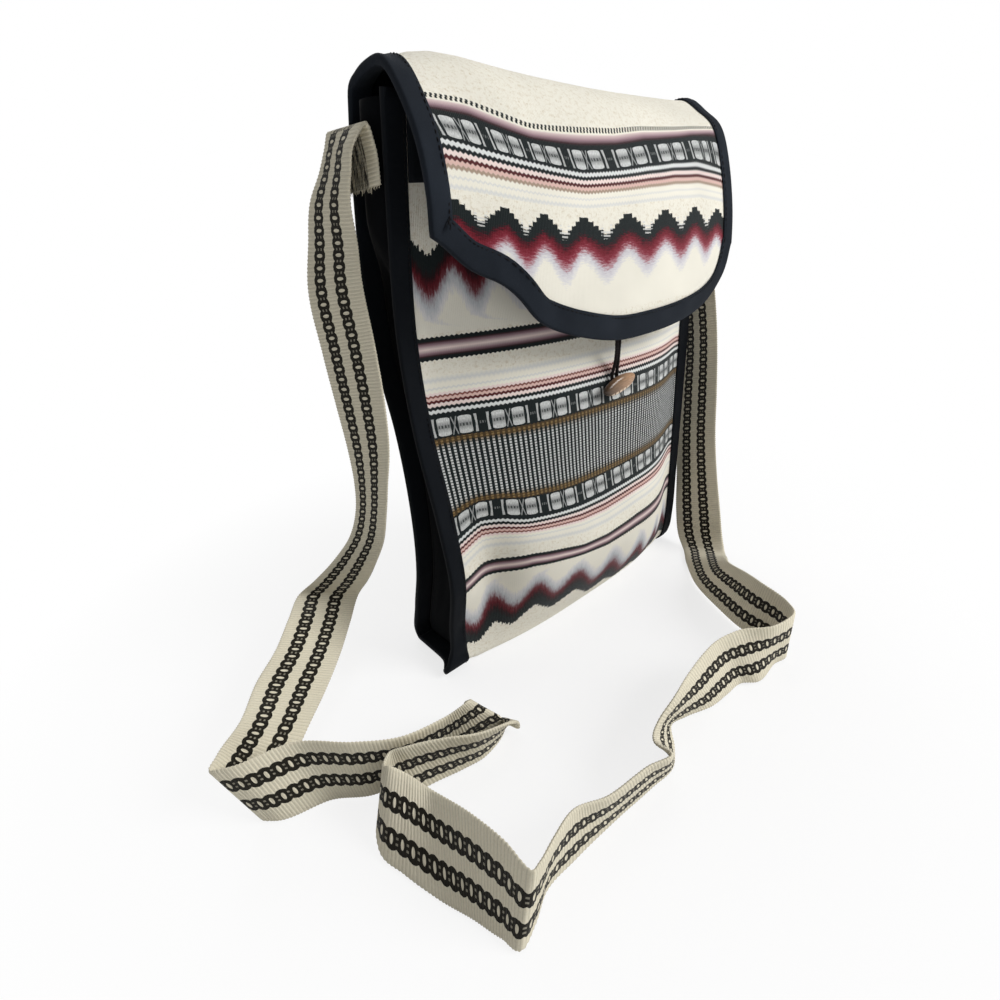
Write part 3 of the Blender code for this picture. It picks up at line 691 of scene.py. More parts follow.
class WovenCloth(Graph):
    """The cloth's material. A thread's place is told in millimetres, as across and along the strip, and as
    its figure and its line in the design."""

    def __init__(self, colours, sizes):
        super().__init__("woven_cloth", 0.92, sheen=0.15)
        self.colours, self.sizes = colours, sizes
        self.across, self.along = self.flat("weave")
        self.figure, self.line = self.flat("design")
        self.threads = self.join(self.across, self.along)
        self.on_flap = self.more(self.line, FLAP_OFFSET - 50)
        self.on_front = self.minus(1.0, self.on_flap)
        self.mist = tint(220, 220, 216)

    def undyed(self):
        """Cream with darker hairs and specks."""
        cream, fleck = self.colours.cream, self.colours.fleck
        hairs = self.spread(self.noise(self.threads, 0.45, 4.0, 0.7), 0.5, 0.72)
        short = self.join(self.across, self.times(self.along, 0.6))
        specks = self.spread(self.noise(short, 1.1, 2.0), 0.60, 0.74)
        shade = self.mix(self.times(hairs, 0.5), cream, fleck)
        return self.mix(self.times(specks, 0.6), shade, fleck)

    def lines(self, shade):
        """Lines of colour with toothed edges: by the front's squares, in its broad stripe and on the
        flap."""
        c, mist = self.colours, self.mist
        umber, maroon = tint(74, 58, 36), tint(84, 36, 38)
        russet, blush = tint(128, 76, 70), tint(214, 192, 190)
        teeth = self.times(self.wave(self.across, 2.4), 0.76)
        jagged = self.minus(self.plus(self.line, teeth), 0.38)
        front = self.ramp(
            jagged, 60.0, (0, 17.6, c.black), (18.2, 20.4, umber), (21.0, 34.2, c.black),
            (34.5, 36.0, c.white), (36.3, 37.8, c.black), (38.1, 39.6, c.pink), (39.9, 41.1, maroon),
            (41.4, 42.6, c.salmon), (42.9, 43.7, russet), (44.0, 45.0, c.pink), (45.5, 46.6, c.cream),
            (47.4, mist), (48.2, 50.0, c.cream), (51.8, mist), (54.0, c.cream),
        )
        stripe = self.ramp(
            self.minus(self.line, STRIPE_START), 14.0, (0, 2.9, c.black), (3.6, c.plum), (5.0, c.mauve),
            (7.0, c.pink), (9.0, c.mauve), (10.4, c.plum), (11.1, 14, c.black),
        )
        flap_line = self.mix_number(self.more(self.line, FLAP_OFFSET + 20.0), self.line, jagged)
        flap = self.ramp(
            self.minus(flap_line, FLAP_OFFSET), 50.0, (0, 11.6, c.cream), (12.4, blush), (14.3, c.mauve),
            (15.8, c.plum), (16.8, 28.0, c.black), (28.3, 29.7, c.white), (30.0, 31.3, c.black),
            (31.6, 33.0, c.pink), (33.3, 34.4, maroon), (34.7, 35.9, c.salmon), (36.3, 37.1, c.brown),
            (37.7, 39.4, c.cream), (40.0, mist), (40.6, 42.0, c.cream), (43.0, mist), (44.6, c.cream),
        )
        shade = self.mix(self.less(self.line, FRONT_LINES_END), shade, front)
        shade = self.mix(self.between(jagged, STRIPE_FROM, STRIPE_TO), shade, stripe)
        return self.mix(self.between(self.line, FLAP_OFFSET + 11.5, FLAP_OFFSET + 44.0), shade, flap)

    def ticks(self, shade):
        """Two staggered rows of short black dashes, just above the flap's first line."""
        upper = self.more(self.line, FLAP_OFFSET + 9.6)
        staggered = self.plus(self.across, self.times(upper, 0.5))
        in_rows = self.between(self.line, FLAP_OFFSET + 8.3, FLAP_OFFSET + 11.0)
        dashes = self.both(in_rows, self.more(self.wave(staggered, 2.3), 0.48))
        return self.mix(dashes, shade, self.colours.black)

    def columns(self, shade):
        """The central band: upright columns of white dashes, with gold ends."""
        column = self.more(self.wave(self.across, COLUMN_PITCH), 0.54)
        dash = self.more(self.wave(self.along, 1.6), 0.3)
        in_columns = self.both(self.less(self.line, COLUMN_END), column, dash)
        gilt = self.spread(self.line, 14.5, 18.0)
        yarn = self.mix(gilt, self.colours.white, self.colours.gold)
        return self.mix(self.times(in_columns, 0.85), shade, yarn)

    def squares(self, shade):
        """Pairs of rounded squares with dark eyes, a bar at each side, a cross between the two and dots
        between the pairs. They are told by the distance from the middle of a pair and by the height within
        the row, and lean on the flap."""
        in_row = self.either(self.between(self.line, *FRONT_SQUARES), self.between(self.line, *FLAP_SQUARES))
        height = self.plus(
            self.both(self.on_front, self.spread(self.line, *FRONT_SQUARES)),
            self.both(self.on_flap, self.spread(self.line, *FLAP_SQUARES)),
        )
        lean = self.both(self.on_flap, self.times(self.minus(height, 0.5), -2.4))
        turns = self.over(self.plus(self.figure, lean), FIGURE_PITCH)
        side = self.apart(self.times(self.math("FRACT", turns), FIGURE_PITCH), FIGURE_PITCH / 2)
        level = self.apart(height, 0.5)
        off_centre = self.apart(side, 5.3)
        rounded = self.times(self.math("POWER", self.over(off_centre, 3.3), 4.0), 0.07)
        pillow = self.both(self.between(side, 2.0, 8.7), self.less(self.plus(level, rounded), 0.5))
        eyes = self.both(self.less(off_centre, 2.6), self.more(self.wave(off_centre, 1.7), 0.5))
        waist = self.spread(level, 0.05, 0.32, 0.4, 1.0)
        pupils = self.both(eyes, self.less(level, 0.08), 0.8)
        block = self.both(pillow, waist, self.minus(1.0, pupils))
        bars = self.both(self.between(side, self.minus(10.4, level), 11.3), 0.8)
        slant = self.apart(side, self.times(level, 2.6))
        cross = self.both(self.less(side, 1.5), self.less(slant, 0.32), 0.5)
        between_pairs = self.both(self.more(side, 12.2), self.less(level, 0.07))
        dots = self.both(between_pairs, self.more(self.wave(self.across, 1.3), 0.5))
        lit = self.both(in_row, self.either(block, bars, cross, self.times(dots, 0.25)))
        strands = self.join(self.times(self.across, 3.0), self.along)
        uneven = self.spread(self.noise(strands, 0.7, 2.0), 0.3, 0.7, 0.6, 1.0)
        return self.mix(self.both(lit, uneven), shade, self.colours.white)

    def peaks(self, shade):
        """Stepped peaks in black, that fade through red and grey to cream, and white floats in the flap's
        valleys. The fade runs down from the tips in streaks, and further under a peak than beside it."""
        c, on_flap, pale = self.colours, self.on_flap, tint(224, 222, 222)
        level_threads = self.stretched(self.across, self.along, 0.5, 2.2)
        upright = self.noise(self.stretched(self.across, self.along, 1.8, 0.3), 0.6, 4.0, 0.75)
        streaks = self.mix_number(on_flap, upright, self.noise(level_threads, 0.6, 4.0, 0.75))
        from_tip = self.mix_number(
            on_flap, self.minus(FRONT_TIPS, self.line), self.minus(self.line, FLAP_TIPS)
        )
        off_peak = self.wave(self.plus(self.figure, FIGURE_PITCH / 2), FIGURE_PITCH)
        step = self.over(self.math("FLOOR", self.times(off_peak, 4.7)), 4.0)
        frayed = self.both(self.on_front, self.wave(self.across, 1.7), 1.3)
        ragged = self.times(self.minus(self.noise(level_threads, 1.1, 3.0, 0.7), 0.5), 3.0)
        outline = self.plus(self.times(step, 8.2), self.plus(frayed, ragged))
        beside = self.smooth(off_peak)
        fade_from = self.mix_number(
            on_flap, self.plus(6.0, self.times(beside, 10.0)), self.plus(7.8, self.times(beside, 5.2))
        )
        fade_long = self.plus(self.mix_number(on_flap, 22.0, 14.0), self.times(beside, 6.0))
        blurred = self.plus(from_tip, self.times(self.minus(streaks, 0.5), 13.0))
        fade = self.over(self.minus(blurred, fade_from), fade_long)
        bright = self.ramp(
            fade, 1.0, (0, c.black), (0.06, tint(62, 12, 24)), (0.22, c.red), (0.4, tint(138, 52, 66)),
            (0.54, tint(178, 134, 142)), (0.66, tint(206, 202, 208)), (0.84, pale), (1.0, c.cream),
        )
        deep = self.ramp(
            fade, 1.0, (0, c.black), (0.14, tint(40, 16, 20)), (0.3, tint(92, 22, 32)),
            (0.4, tint(112, 60, 66)), (0.5, tint(158, 146, 152)), (0.64, tint(194, 198, 202)), (0.84, pale),
            (1.0, c.cream),
        )
        in_peaks = self.both(
            self.more(from_tip, outline), self.less(from_tip, PEAK_REACH), self.more(from_tip, 0.0)
        )
        shade = self.mix(in_peaks, shade, self.mix(on_flap, deep, bright))
        in_valleys = self.both(
            on_flap, self.more(off_peak, 0.74), self.less(from_tip, self.plus(outline, 2.4)),
            self.more(from_tip, self.minus(outline, 2.0)),
        )
        floats = self.both(in_valleys, self.more(self.wave(self.along, 1.7), 0.5), 0.75)
        return self.mix(floats, shade, self.mist)

    def worn(self, shade):
        """The material, with patches worn a little darker and a relief of yarns."""
        yarn = self.sizes.yarn / MM
        weave = self.times(self.wave(self.across, yarn), self.wave(self.along, yarn * 0.6))
        relief = self.plus(weave, self.noise(self.threads, 2.5, 3.0))
        patches = self.spread(self.noise(self.threads, 0.02, 3.0), 0.3, 0.7, 0.9, 1.0)
        return self.finish(self.shaded(shade, patches), relief, 0.00025, 0.7)


def woven_finish(colours, sizes):
    """Cream cloth with woven lines, a column band, rows of paired squares, and stepped peaks that fade."""
    cloth = WovenCloth(colours, sizes)
    shade = cloth.undyed()
    for figures in (cloth.lines, cloth.ticks, cloth.columns, cloth.squares, cloth.peaks):
        shade = figures(shade)
    return cloth.worn(shade)


def cotton_finish(name, shade, roughness, sheen, fine):
    """Plain black cotton: a fine weave, lint, and patches rubbed a little paler. Painted shade makes it
    darker everywhere but at the crest and the flap."""
    g = Graph(name, roughness, sheen)
    _, along = g.flat("weave")
    place = g.place()
    lint = g.spread(g.noise(place, 900.0, 3.0, 0.6), 0.58, 0.8)
    rubbed = g.spread(g.noise(place, 28.0, 3.0), 0.35, 0.75)
    # deep is the cotton's colour in painted shade, a third as bright
    paler, deep = toned(shade, 2.2, 0.004), toned(shade, 0.32)
    colour = g.mix(g.times(rubbed, 0.5), shade, paler)
    colour = g.mix(g.times(lint, 0.35), colour, paler)
    # Painted shade: all but the crest and the flap is laid mostly over with deep, fading out from 560 to 700
    # mm along
    colour = g.mix(g.spread(along, 560.0, 700.0), g.mix(0.18, deep, colour), colour)
    return g.finish(colour, g.noise(place, fine, 3.0, 0.6), 0.0002, 0.5)


def webbing_finish(colours, sizes):
    """Cream ribbed webbing with two rows of interlinked black ovals, of which the second lies further from
    its own edge. On the left tail the ovals give way to loose dark strands."""
    g = Graph("strap_webbing", 0.9, sheen=0.1)
    across, along = g.flat("weave")
    pitch = sizes.link / MM
    rings = []
    for middle in (11.0, 26.0):
        off = g.apart(across, middle)
        up = g.wave(g.plus(along, pitch / 2), pitch)
        scallop = g.minus(4.5, g.both(up, up, 1.3))
        wide, high = g.over(off, 2.2), g.over(up, 0.31)
        hole = g.less(g.plus(g.times(wide, wide), g.times(high, high)), 1.0)
        tick = g.both(g.more(up, 0.8), g.between(off, 0.7, 1.7), 0.35)
        rings.append(g.both(g.less(off, scallop), g.minus(1.0, g.either(hole, tick))))
    ring = g.either(*rings)
    ribs = g.wave(along, sizes.rib / MM)
    hairs = g.noise(g.join(across, g.times(along, 2.0)), 0.9, 3.0, 0.7)
    # Painted shade: the webbing is darkened in the grooves between its cross ribs
    painted_rib_shade = g.spread(ribs, 0.0, 0.4, 0.8, 1.0)
    strands = g.noise(g.stretched(across, along, 1.6, 0.12), 0.8, 3.0)
    frayed = g.both(g.less(along, TAIL_LENGTH), g.between(across, 7.0, 31.0))
    ring = g.times(ring, g.minus(1.0, frayed))
    ring = g.either(ring, g.both(frayed, g.spread(strands, 0.42, 0.56)))
    base = g.mix(g.spread(hairs, 0.45, 0.75, 0.0, 0.4), colours.webbing, tint(196, 180, 146))
    black = g.mix(g.spread(hairs, 0.4, 0.8, 0.0, 0.5), colours.link, tint(62, 56, 44))
    colour = g.mix(ring, g.shaded(base, painted_rib_shade), black)
    relief = g.plus(g.plus(ribs, g.times(ring, 0.6)), g.times(hairs, 0.5))
    return g.finish(colour, relief, 0.0004, 0.8)


def button_finish(colours):
    """Polished shell or wood with long grain. Painted shade darkens its left end and painted light makes it
    paler to the right, with painted glints along its lower rim."""
    g = Graph("button_wood", 0.32)
    place = g.place()
    long_way, short_way = g.flat("weave")
    drawn = g.add("ShaderNodeMapping", place, None, None, (260.0, 260.0, 1400.0)).outputs[0]
    grain = g.noise(drawn, 1.0, 4.0, 0.6)
    dark, pale = toned(colours.wood, 0.14), toned(colours.wood, 1.3)
    # Painted shade and painted light: dark at the left end, pale to the right
    colour = g.mix(g.spread(long_way, -13.0, 9.0), dark, pale)
    colour = g.mix(g.times(g.spread(grain, 0.4, 0.7), 0.4), colour, dark)
    # Painted glints: pale dashes along the lower rim, where highlights fall
    rim = g.both(g.spread(short_way, -2.4, -3.2), g.more(g.wave(long_way, 3.4), 0.35))
    colour = g.mix(g.times(rim, 0.8), colour, tint(238, 216, 188))
    g.shader.inputs["Coat Weight"].default_value = 0.6
    g.shader.inputs["Coat Roughness"].default_value = 0.2
    return g.finish(colour, grain, 0.0002, 0.4)


def cord_finish(name, shade, twist):
    """Twisted thread: grooves that run round it at a slant, darkened by painted shade."""
    g = Graph(name, 0.8, sheen=0.02)
    round_it, along = g.flat("weave")
    ply = g.wave(g.plus(along, round_it), twist)
    # Painted shade in the grooves between the plies, with paler ridges
    return g.finish(g.mix(g.times(ply, 0.6), shade, toned(shade, 1.8, 0.002)), ply, 0.0003, 0.8)


def made(name):
    """The material of that name, made the first time that it is asked for."""
    found = bpy.data.materials.get(name + "_look")
    if found:
        return found
    colours, sizes = bpy.context.scene.bag_colours, bpy.context.scene.bag_sizes
    finishes = {
        "woven_cloth": lambda: woven_finish(colours, sizes),
        "black_tape": lambda: cotton_finish(name, tuple(colours.tape), 0.85, 0.02, 1500.0),
        "black_cotton": lambda: cotton_finish(name, tuple(colours.cotton), 0.9, 0.02, 1900.0),
        "strap_webbing": lambda: webbing_finish(colours, sizes),
        "button_wood": lambda: button_finish(colours),
        "loop_cord": lambda: cord_finish(name, tuple(colours.cord), 1.6),
        "sewing_thread": lambda: cord_finish(name, tuple(colours.cord), 0.6),
    }
    finish = finishes[name]()
    finish.name = name + "_look"
    return finish


def even(first, last, step):
    """Places from first to last, no more than a step apart."""
    return np.linspace(first, last, max(2, int(np.ceil((last - first) / step)) + 1))


def cloth_places(step):
    """Flat places of the cloth: even rows to the flap, then rows that end on its shaped edge."""
    across = even(-HALF_CLOTH, HALF_CLOTH, step)
    edge_across, edge_along = flap_outline(2)
    ends = np.interp(across, edge_across, edge_along) - CLOTH_SHORT
    fixed = even(0.0, FLAP_ALONG, step)
    parts = np.arange(1, LOOSE_ROWS + 1)[:, None] / LOOSE_ROWS
    loose = FLAP_ALONG + (ends - FLAP_ALONG)[None, :] * parts
    along = np.concatenate([np.repeat(fixed[:, None], len(across), 1), loose])
    return np.broadcast_to(across, along.shape), along


class BAG_OT_cloth(bpy.types.Operator):
    """Adds the woven strip and the lining behind it"""

    bl_idname = "bag.cloth"
    bl_label = "Cloth and lining"

    def execute(self, context):
        across, along = cloth_places(context.scene.bag_sizes.cloth_step / MM)
        maps = {"weave": np.stack([across, along], -1), "design": np.stack(design_place(across, along), -1)}
        face, back = layer(across, along, 0.0), layer(across, along, -CLOTH)
        cloth = two_faced("woven_body", face, back, made("woven_cloth"), maps)
        seat(cloth, "woven_cloth", "body_cloth")
        maps.pop("design")
        face, back = layer(across, along, -CLOTH - PLY_GAP), layer(across, along, -PLIES)
        lining = two_faced("black_lining", face, back, made("black_cotton"), maps)
        seat(lining, "black_cotton", "lining")
        return {"FINISHED"}


def tape_path(step):
    """The middle line of the edge tape in flat places, up one side, round the flap and down the other, with
    a unit vector to its inside and the width of its leaves."""
    edge_across, edge_along = flap_outline(step)
    ends = (edge_along[0], edge_along[-1])
    left, right = (np.array([-TAPE_OUT, *even(0.0, end, step)[1:-1]]) for end in ends)
    across = np.concatenate([np.full(len(left), -HALF_CLOTH), edge_across, np.full(len(right), HALF_CLOTH)])
    along = np.concatenate([left, edge_along, right[::-1]])
    path = np.stack([across, along], -1)
    ways = unit(np.diff(path, axis=0))
    way = unit(np.concatenate([ways[:1], ways[1:] + ways[:-1], ways[-1:]]))
    inward = np.stack([way[:, 1], -way[:, 0]], -1)
    width = SIDE_TAPE + (FLAP_TAPE - SIDE_TAPE) * way[:, 0] ** 2 - TAPE_OUT
    return path, inward, width


class BAG_OT_bindings(bpy.types.Operator):
    """Adds the tape round the strip's edges, its stitches, and the facing of the mouth"""

    bl_idname = "bag.bindings"
    bl_label = "Bindings"

    def execute(self, context):
        path, inward, width = tape_path(3.0)
        run = lengths(path)
        middle, half = (TAPE_OUT - TAPE_IN) / 2, (TAPE_OUT + TAPE_IN) / 2
        self.tape(path, inward, width, run, middle, half)
        self.facing(middle)
        self.stitch(context.scene.bag_sizes, path, inward, width, run)
        return {"FINISHED"}

    def tape(self, path, inward, width, run, middle, half):
        """A section carried along the path: a half-round fold over the edge, a leaf on each face of the
        cloth, and their inner sides back to the fold. A point of it is told by its share of the leaf's
        width, a shift towards the inside, and its height. The outer leaf has low puckers, and an ear stands
        out at the left of the mouth."""
        pucker = 0.25 * np.sin(run / 4.1) + 0.2 * np.sin(run / 6.7 + 1)
        shares = (0.15, 0.35, 0.6, 0.85, 0.97)
        fold = [
            (0, -TAPE_OUT * np.cos(turn), middle + half * np.sin(turn))
            for turn in np.linspace(-np.pi / 2, np.pi / 2, 9)
        ]
        outside = [(share, 0.0, TAPE_OUT) for share in shares] + [(1, 0, TAPE_OUT - 0.3)]
        back = [(1, 0, SEAM_GAP), (0.5, 0, SEAM_GAP), (0, -SEAM_GAP, SEAM_GAP)]
        back += [(share, shift, -PLIES - SEAM_GAP) for share, shift in ((0, -SEAM_GAP), (0.5, 0), (1, 0))]
        inside = [(1, 0, -TAPE_IN + 0.3)] + [(share, 0.0, -TAPE_IN) for share in shares[::-1]]
        ear = EAR_REACH * bump(path[:, 1], EAR_ALONG, EAR_LENGTH) * (path[:, 0] < 0)
        rings, flats = [], []
        for share, shift, out in fold + outside + back + inside:
            place = path + inward * (share * width + shift - ear * (1 - share))[:, None]
            raised = out + pucker * (0.3 < share < 0.9) * (out > 0.9)
            rings.append(layer(place[:, 0], place[:, 1], raised))
            flats.append(place)
        binding = loft("edge_tape", np.stack(rings, 1), made("black_tape"), {"weave": np.stack(flats, 1)})
        seat(binding, "black_tape", "edge_binding")

    def facing(self, middle):
        """A section carried across the mouth: a short leaf inside, over the edge, and a long leaf outside.
        A point of it is told by its place along the strip and its height."""
        across = even(-HALF_GUSSET + SEAM_GAP, HALF_GUSSET - SEAM_GAP, 4)
        rows = even(0, FACING_OUTSIDE, 3)
        turn = -TAPE_OUT * 0.7
        section = [(FACING_INSIDE, -TAPE_IN), (6, -TAPE_IN), (turn, -TAPE_IN), (-TAPE_OUT, middle)]
        section += [(turn, TAPE_OUT), *((along, TAPE_OUT) for along in rows[1:])]
        section += [*((along, SEAM_GAP) for along in rows[:0:-1]), (-SEAM_GAP, SEAM_GAP)]
        section += [(along, -PLIES - SEAM_GAP) for along in (-SEAM_GAP, 6, FACING_INSIDE)]
        rings = np.stack([layer(across, along, out) for along, out in section], 1)
        flats = np.stack([np.stack([across, np.full_like(across, along)], -1) for along, _ in section], 1)
        facing = loft("mouth_facing", rings, made("black_tape"), {"weave": flats})
        seat(facing, "black_tape", "mouth_binding")

    def stitch(self, sizes, path, inward, width, run):
        """Short round stitches on the tape, a set distance from its inner edge: each is an arch that goes
        into the tape at both ends."""
        pitch, length, thread = sizes.stitch_pitch / MM, sizes.stitch / MM, sizes.thread / MM
        starts = np.arange(pitch, run[-1] - pitch, pitch)
        share = np.linspace(0, 1, 5)
        at = starts[:, None] + share[None, :] * length
        line = path + inward * (width - STITCH_INSET)[:, None]
        flat = np.stack([np.interp(at, run, line[:, k]) for k in (0, 1)], -1)
        raised = TAPE_OUT - 0.1 + STITCH_RISE * np.sin(np.pi * share)
        centre = layer(flat[..., 0], flat[..., 1], raised[None, :])
        out = out_of_strip(flat[..., 0], flat[..., 1])
        side = np.cross(unit(np.gradient(centre, axis=1)), out)
        angles = np.linspace(0, 2 * np.pi, 6, endpoint=False)
        radius = thread / 2 * np.array([0.5, 0.95, 1.0, 0.95, 0.5])[None, :, None]
        points = tube(centre, side, out, radius, angles)
        flats = np.stack(np.broadcast_arrays(angles, at[..., None]), -1)
        stitches = many_tubes("tape_stitches", points, made("sewing_thread"), flats)
        seat(stitches, "sewing_thread")


def seam_line(side, first, last, heights):
    """Depth of the inside of a seam at each height, on the front or on the back."""
    along = np.linspace(first, last, 400)
    line = layer(side * (HALF_GUSSET + GUSSET), along, -TAPE_IN - GUSSET_GAP)
    order = np.argsort(line[:, 2])
    return np.interp(heights, line[order, 2], line[order, 1])


class BAG_OT_gussets(bpy.types.Operator):
    """Adds both black side panels with their soft upright folds"""

    bl_idname = "bag.gussets"
    bl_label = "Gussets"

    def execute(self, context):
        for name, side in (("left", -1), ("right", 1)):
            self.panel(name, side)
        return {"FINISHED"}

    def panel(self, name, side):
        """From the front seam to the back seam: an arch that is hollow below and puffed near the mouth,
        with three upright folds and finer creases, all faded to nothing at the seams."""
        floor = EDGE_LIFT + TAPE_IN + GUSSET_GAP + PLY_GAP
        close_rows = floor + np.array([0, 0.6, 1.2, 2, 3, 4.5, 6, 8, 10])
        heights = np.concatenate([close_rows, even(floor + 12, MOUTH_HEIGHT, 3)])
        corner = GUSSET_CORNER * (1 - smooth((heights - floor) / 8))
        front = seam_line(side, 0, BOTTOM_ALONG, heights) + corner
        back = seam_line(side, BACK_ALONG, CREST_ALONG, heights) - corner
        share = np.linspace(0, 1, 33)[None, :]
        depth = front[:, None] + (back - front)[:, None] * share
        height = np.repeat(heights[:, None], share.shape[1], 1)
        arch = np.sin(np.pi * share) ** 0.8
        puffed = smooth((height - GUSSET_PUFF_FROM) / (GUSSET_PUFF_TO - GUSSET_PUFF_FROM))
        risen = smooth(height / GUSSET_DRAWN)
        drawn = risen * (1 - puffed)
        folds = GUSSET_FOLD * np.sin(3 * np.pi * share) * drawn
        slants = np.sin(7 * np.pi * share + height / 31) * np.sin(height / 53 + 1)
        creases = GUSSET_CREASE * slants * arch * (1 - puffed)
        swell = GUSSET_PUFF * arch * puffed - GUSSET_HOLLOW * arch * drawn + folds + creases * risen
        middle = side * (HALF_GUSSET + swell)
        outer, inner = (np.stack([middle + side * way * GUSSET / 2, depth, height], -1) for way in (1, -1))
        flat = np.stack([depth, height], -1)
        panel = two_faced(f"{name}_side_panel", outer, inner, made("black_cotton"), {"weave": flat})
        seat(panel, "black_cotton", f"{name}_gusset")


def strap_lines(step):
    """Both edges of the strap about a step apart, in rows of six numbers, and no lower than it rests."""
    route = np.asarray(STRAP_ROUTE, float).reshape(-1, 6)
    knots = lengths((route[:, :3] + route[:, 3:]) / 2)
    edges = spline(route, knots, even(0, knots[-1], step))
    edges[:, [2, 5]] = np.maximum(edges[:, [2, 5]], STRAP_REST)
    return edges


class BAG_OT_strap(bpy.types.Operator):
    """Adds the webbing strap along its whole route"""

    bl_idname = "bag.strap"
    bl_label = "Shoulder strap"

    def execute(self, context):
        edges = strap_lines(context.scene.bag_sizes.strap_step / MM)
        centre = (edges[:, :3] + edges[:, 3:]) / 2
        run = lengths(centre)
        strap = self.webbing(edges, run, context.scene.bag_sizes.rib / MM)
        seat(strap, "strap_webbing", "shoulder_strap")
        self.fray("left", edges[0], 1)
        self.fray("right", edges[-1], -1)
        return {"FINISHED"}

    def webbing(self, edges, run, rib_pitch):
        """A flat band between both edges, with rounded rims. It is thicker and wider at each cross rib."""
        first, second = edges[:, None, :3], edges[:, None, 3:]
        share = np.array([0, 0.012, 0.03, 0.1, 0.2, 0.35, 0.5, 0.65, 0.8, 0.9, 0.97, 0.988, 1])[None, :, None]
        middle = first * (1 - share) + second * share
        out = unit(np.cross(np.gradient(middle, axis=0), second - first))
        rib = np.cos(2 * np.pi * run / rib_pitch)[:, None, None]
        off = np.abs(share - 0.5)
        rim = np.sqrt(np.clip(1 - (off - 0.47) / 0.03, 0.02, 1))
        thick = STRAP / 2 * np.minimum(1, rim) * (1 + 0.13 * rib)
        middle = middle + (second - first) * np.sign(share - 0.5) * (off > 0.46) * 0.006 * rib
        flat = np.stack(np.broadcast_arrays(share[..., 0] * STRAP_WIDTH, run[:, None]), -1)
        rise, finish = out * thick, made("strap_webbing")
        return two_faced("webbing_strap", middle + rise, middle - rise, finish, {"weave": flat})

    def fray(self, name, tail, seed_step):
        """Loose warp threads below the cut end of a tail: thin tapered tubes that bend a little."""
        count = 26
        random = np.random.default_rng(7 + seed_step)
        first, second = tail[:3], tail[3:]
        root = first + (second - first) * np.linspace(0.04, 0.96, count)[:, None] + np.array([0, 0, 0.8])
        reach = random.uniform(0.8, 2.8, count)
        lean = random.uniform(-1.3, 1.3, count)
        part = np.linspace(0, 1, 5)
        bend, drop = lean[:, None] * part**2, -reach[:, None] * part - 0.8 * part
        line = root[:, None] + np.stack([np.zeros((count, 5)), bend, drop], -1)
        radius = 0.28 * (1 - 0.7 * part)[None, :, None]
        turns = np.linspace(0, 2 * np.pi, 6, endpoint=False)
        points = tube(line, np.array([1.0, 0.0, 0.0]), np.array([0.0, 1.0, 0.0]), radius, turns)
        flats = np.zeros((count, 5, 6, 2)) + np.array([3.0, 40.0])
        threads = many_tubes(f"{name}_tail_fray", points, made("strap_webbing"), flats)
        seat(threads, "strap_webbing")


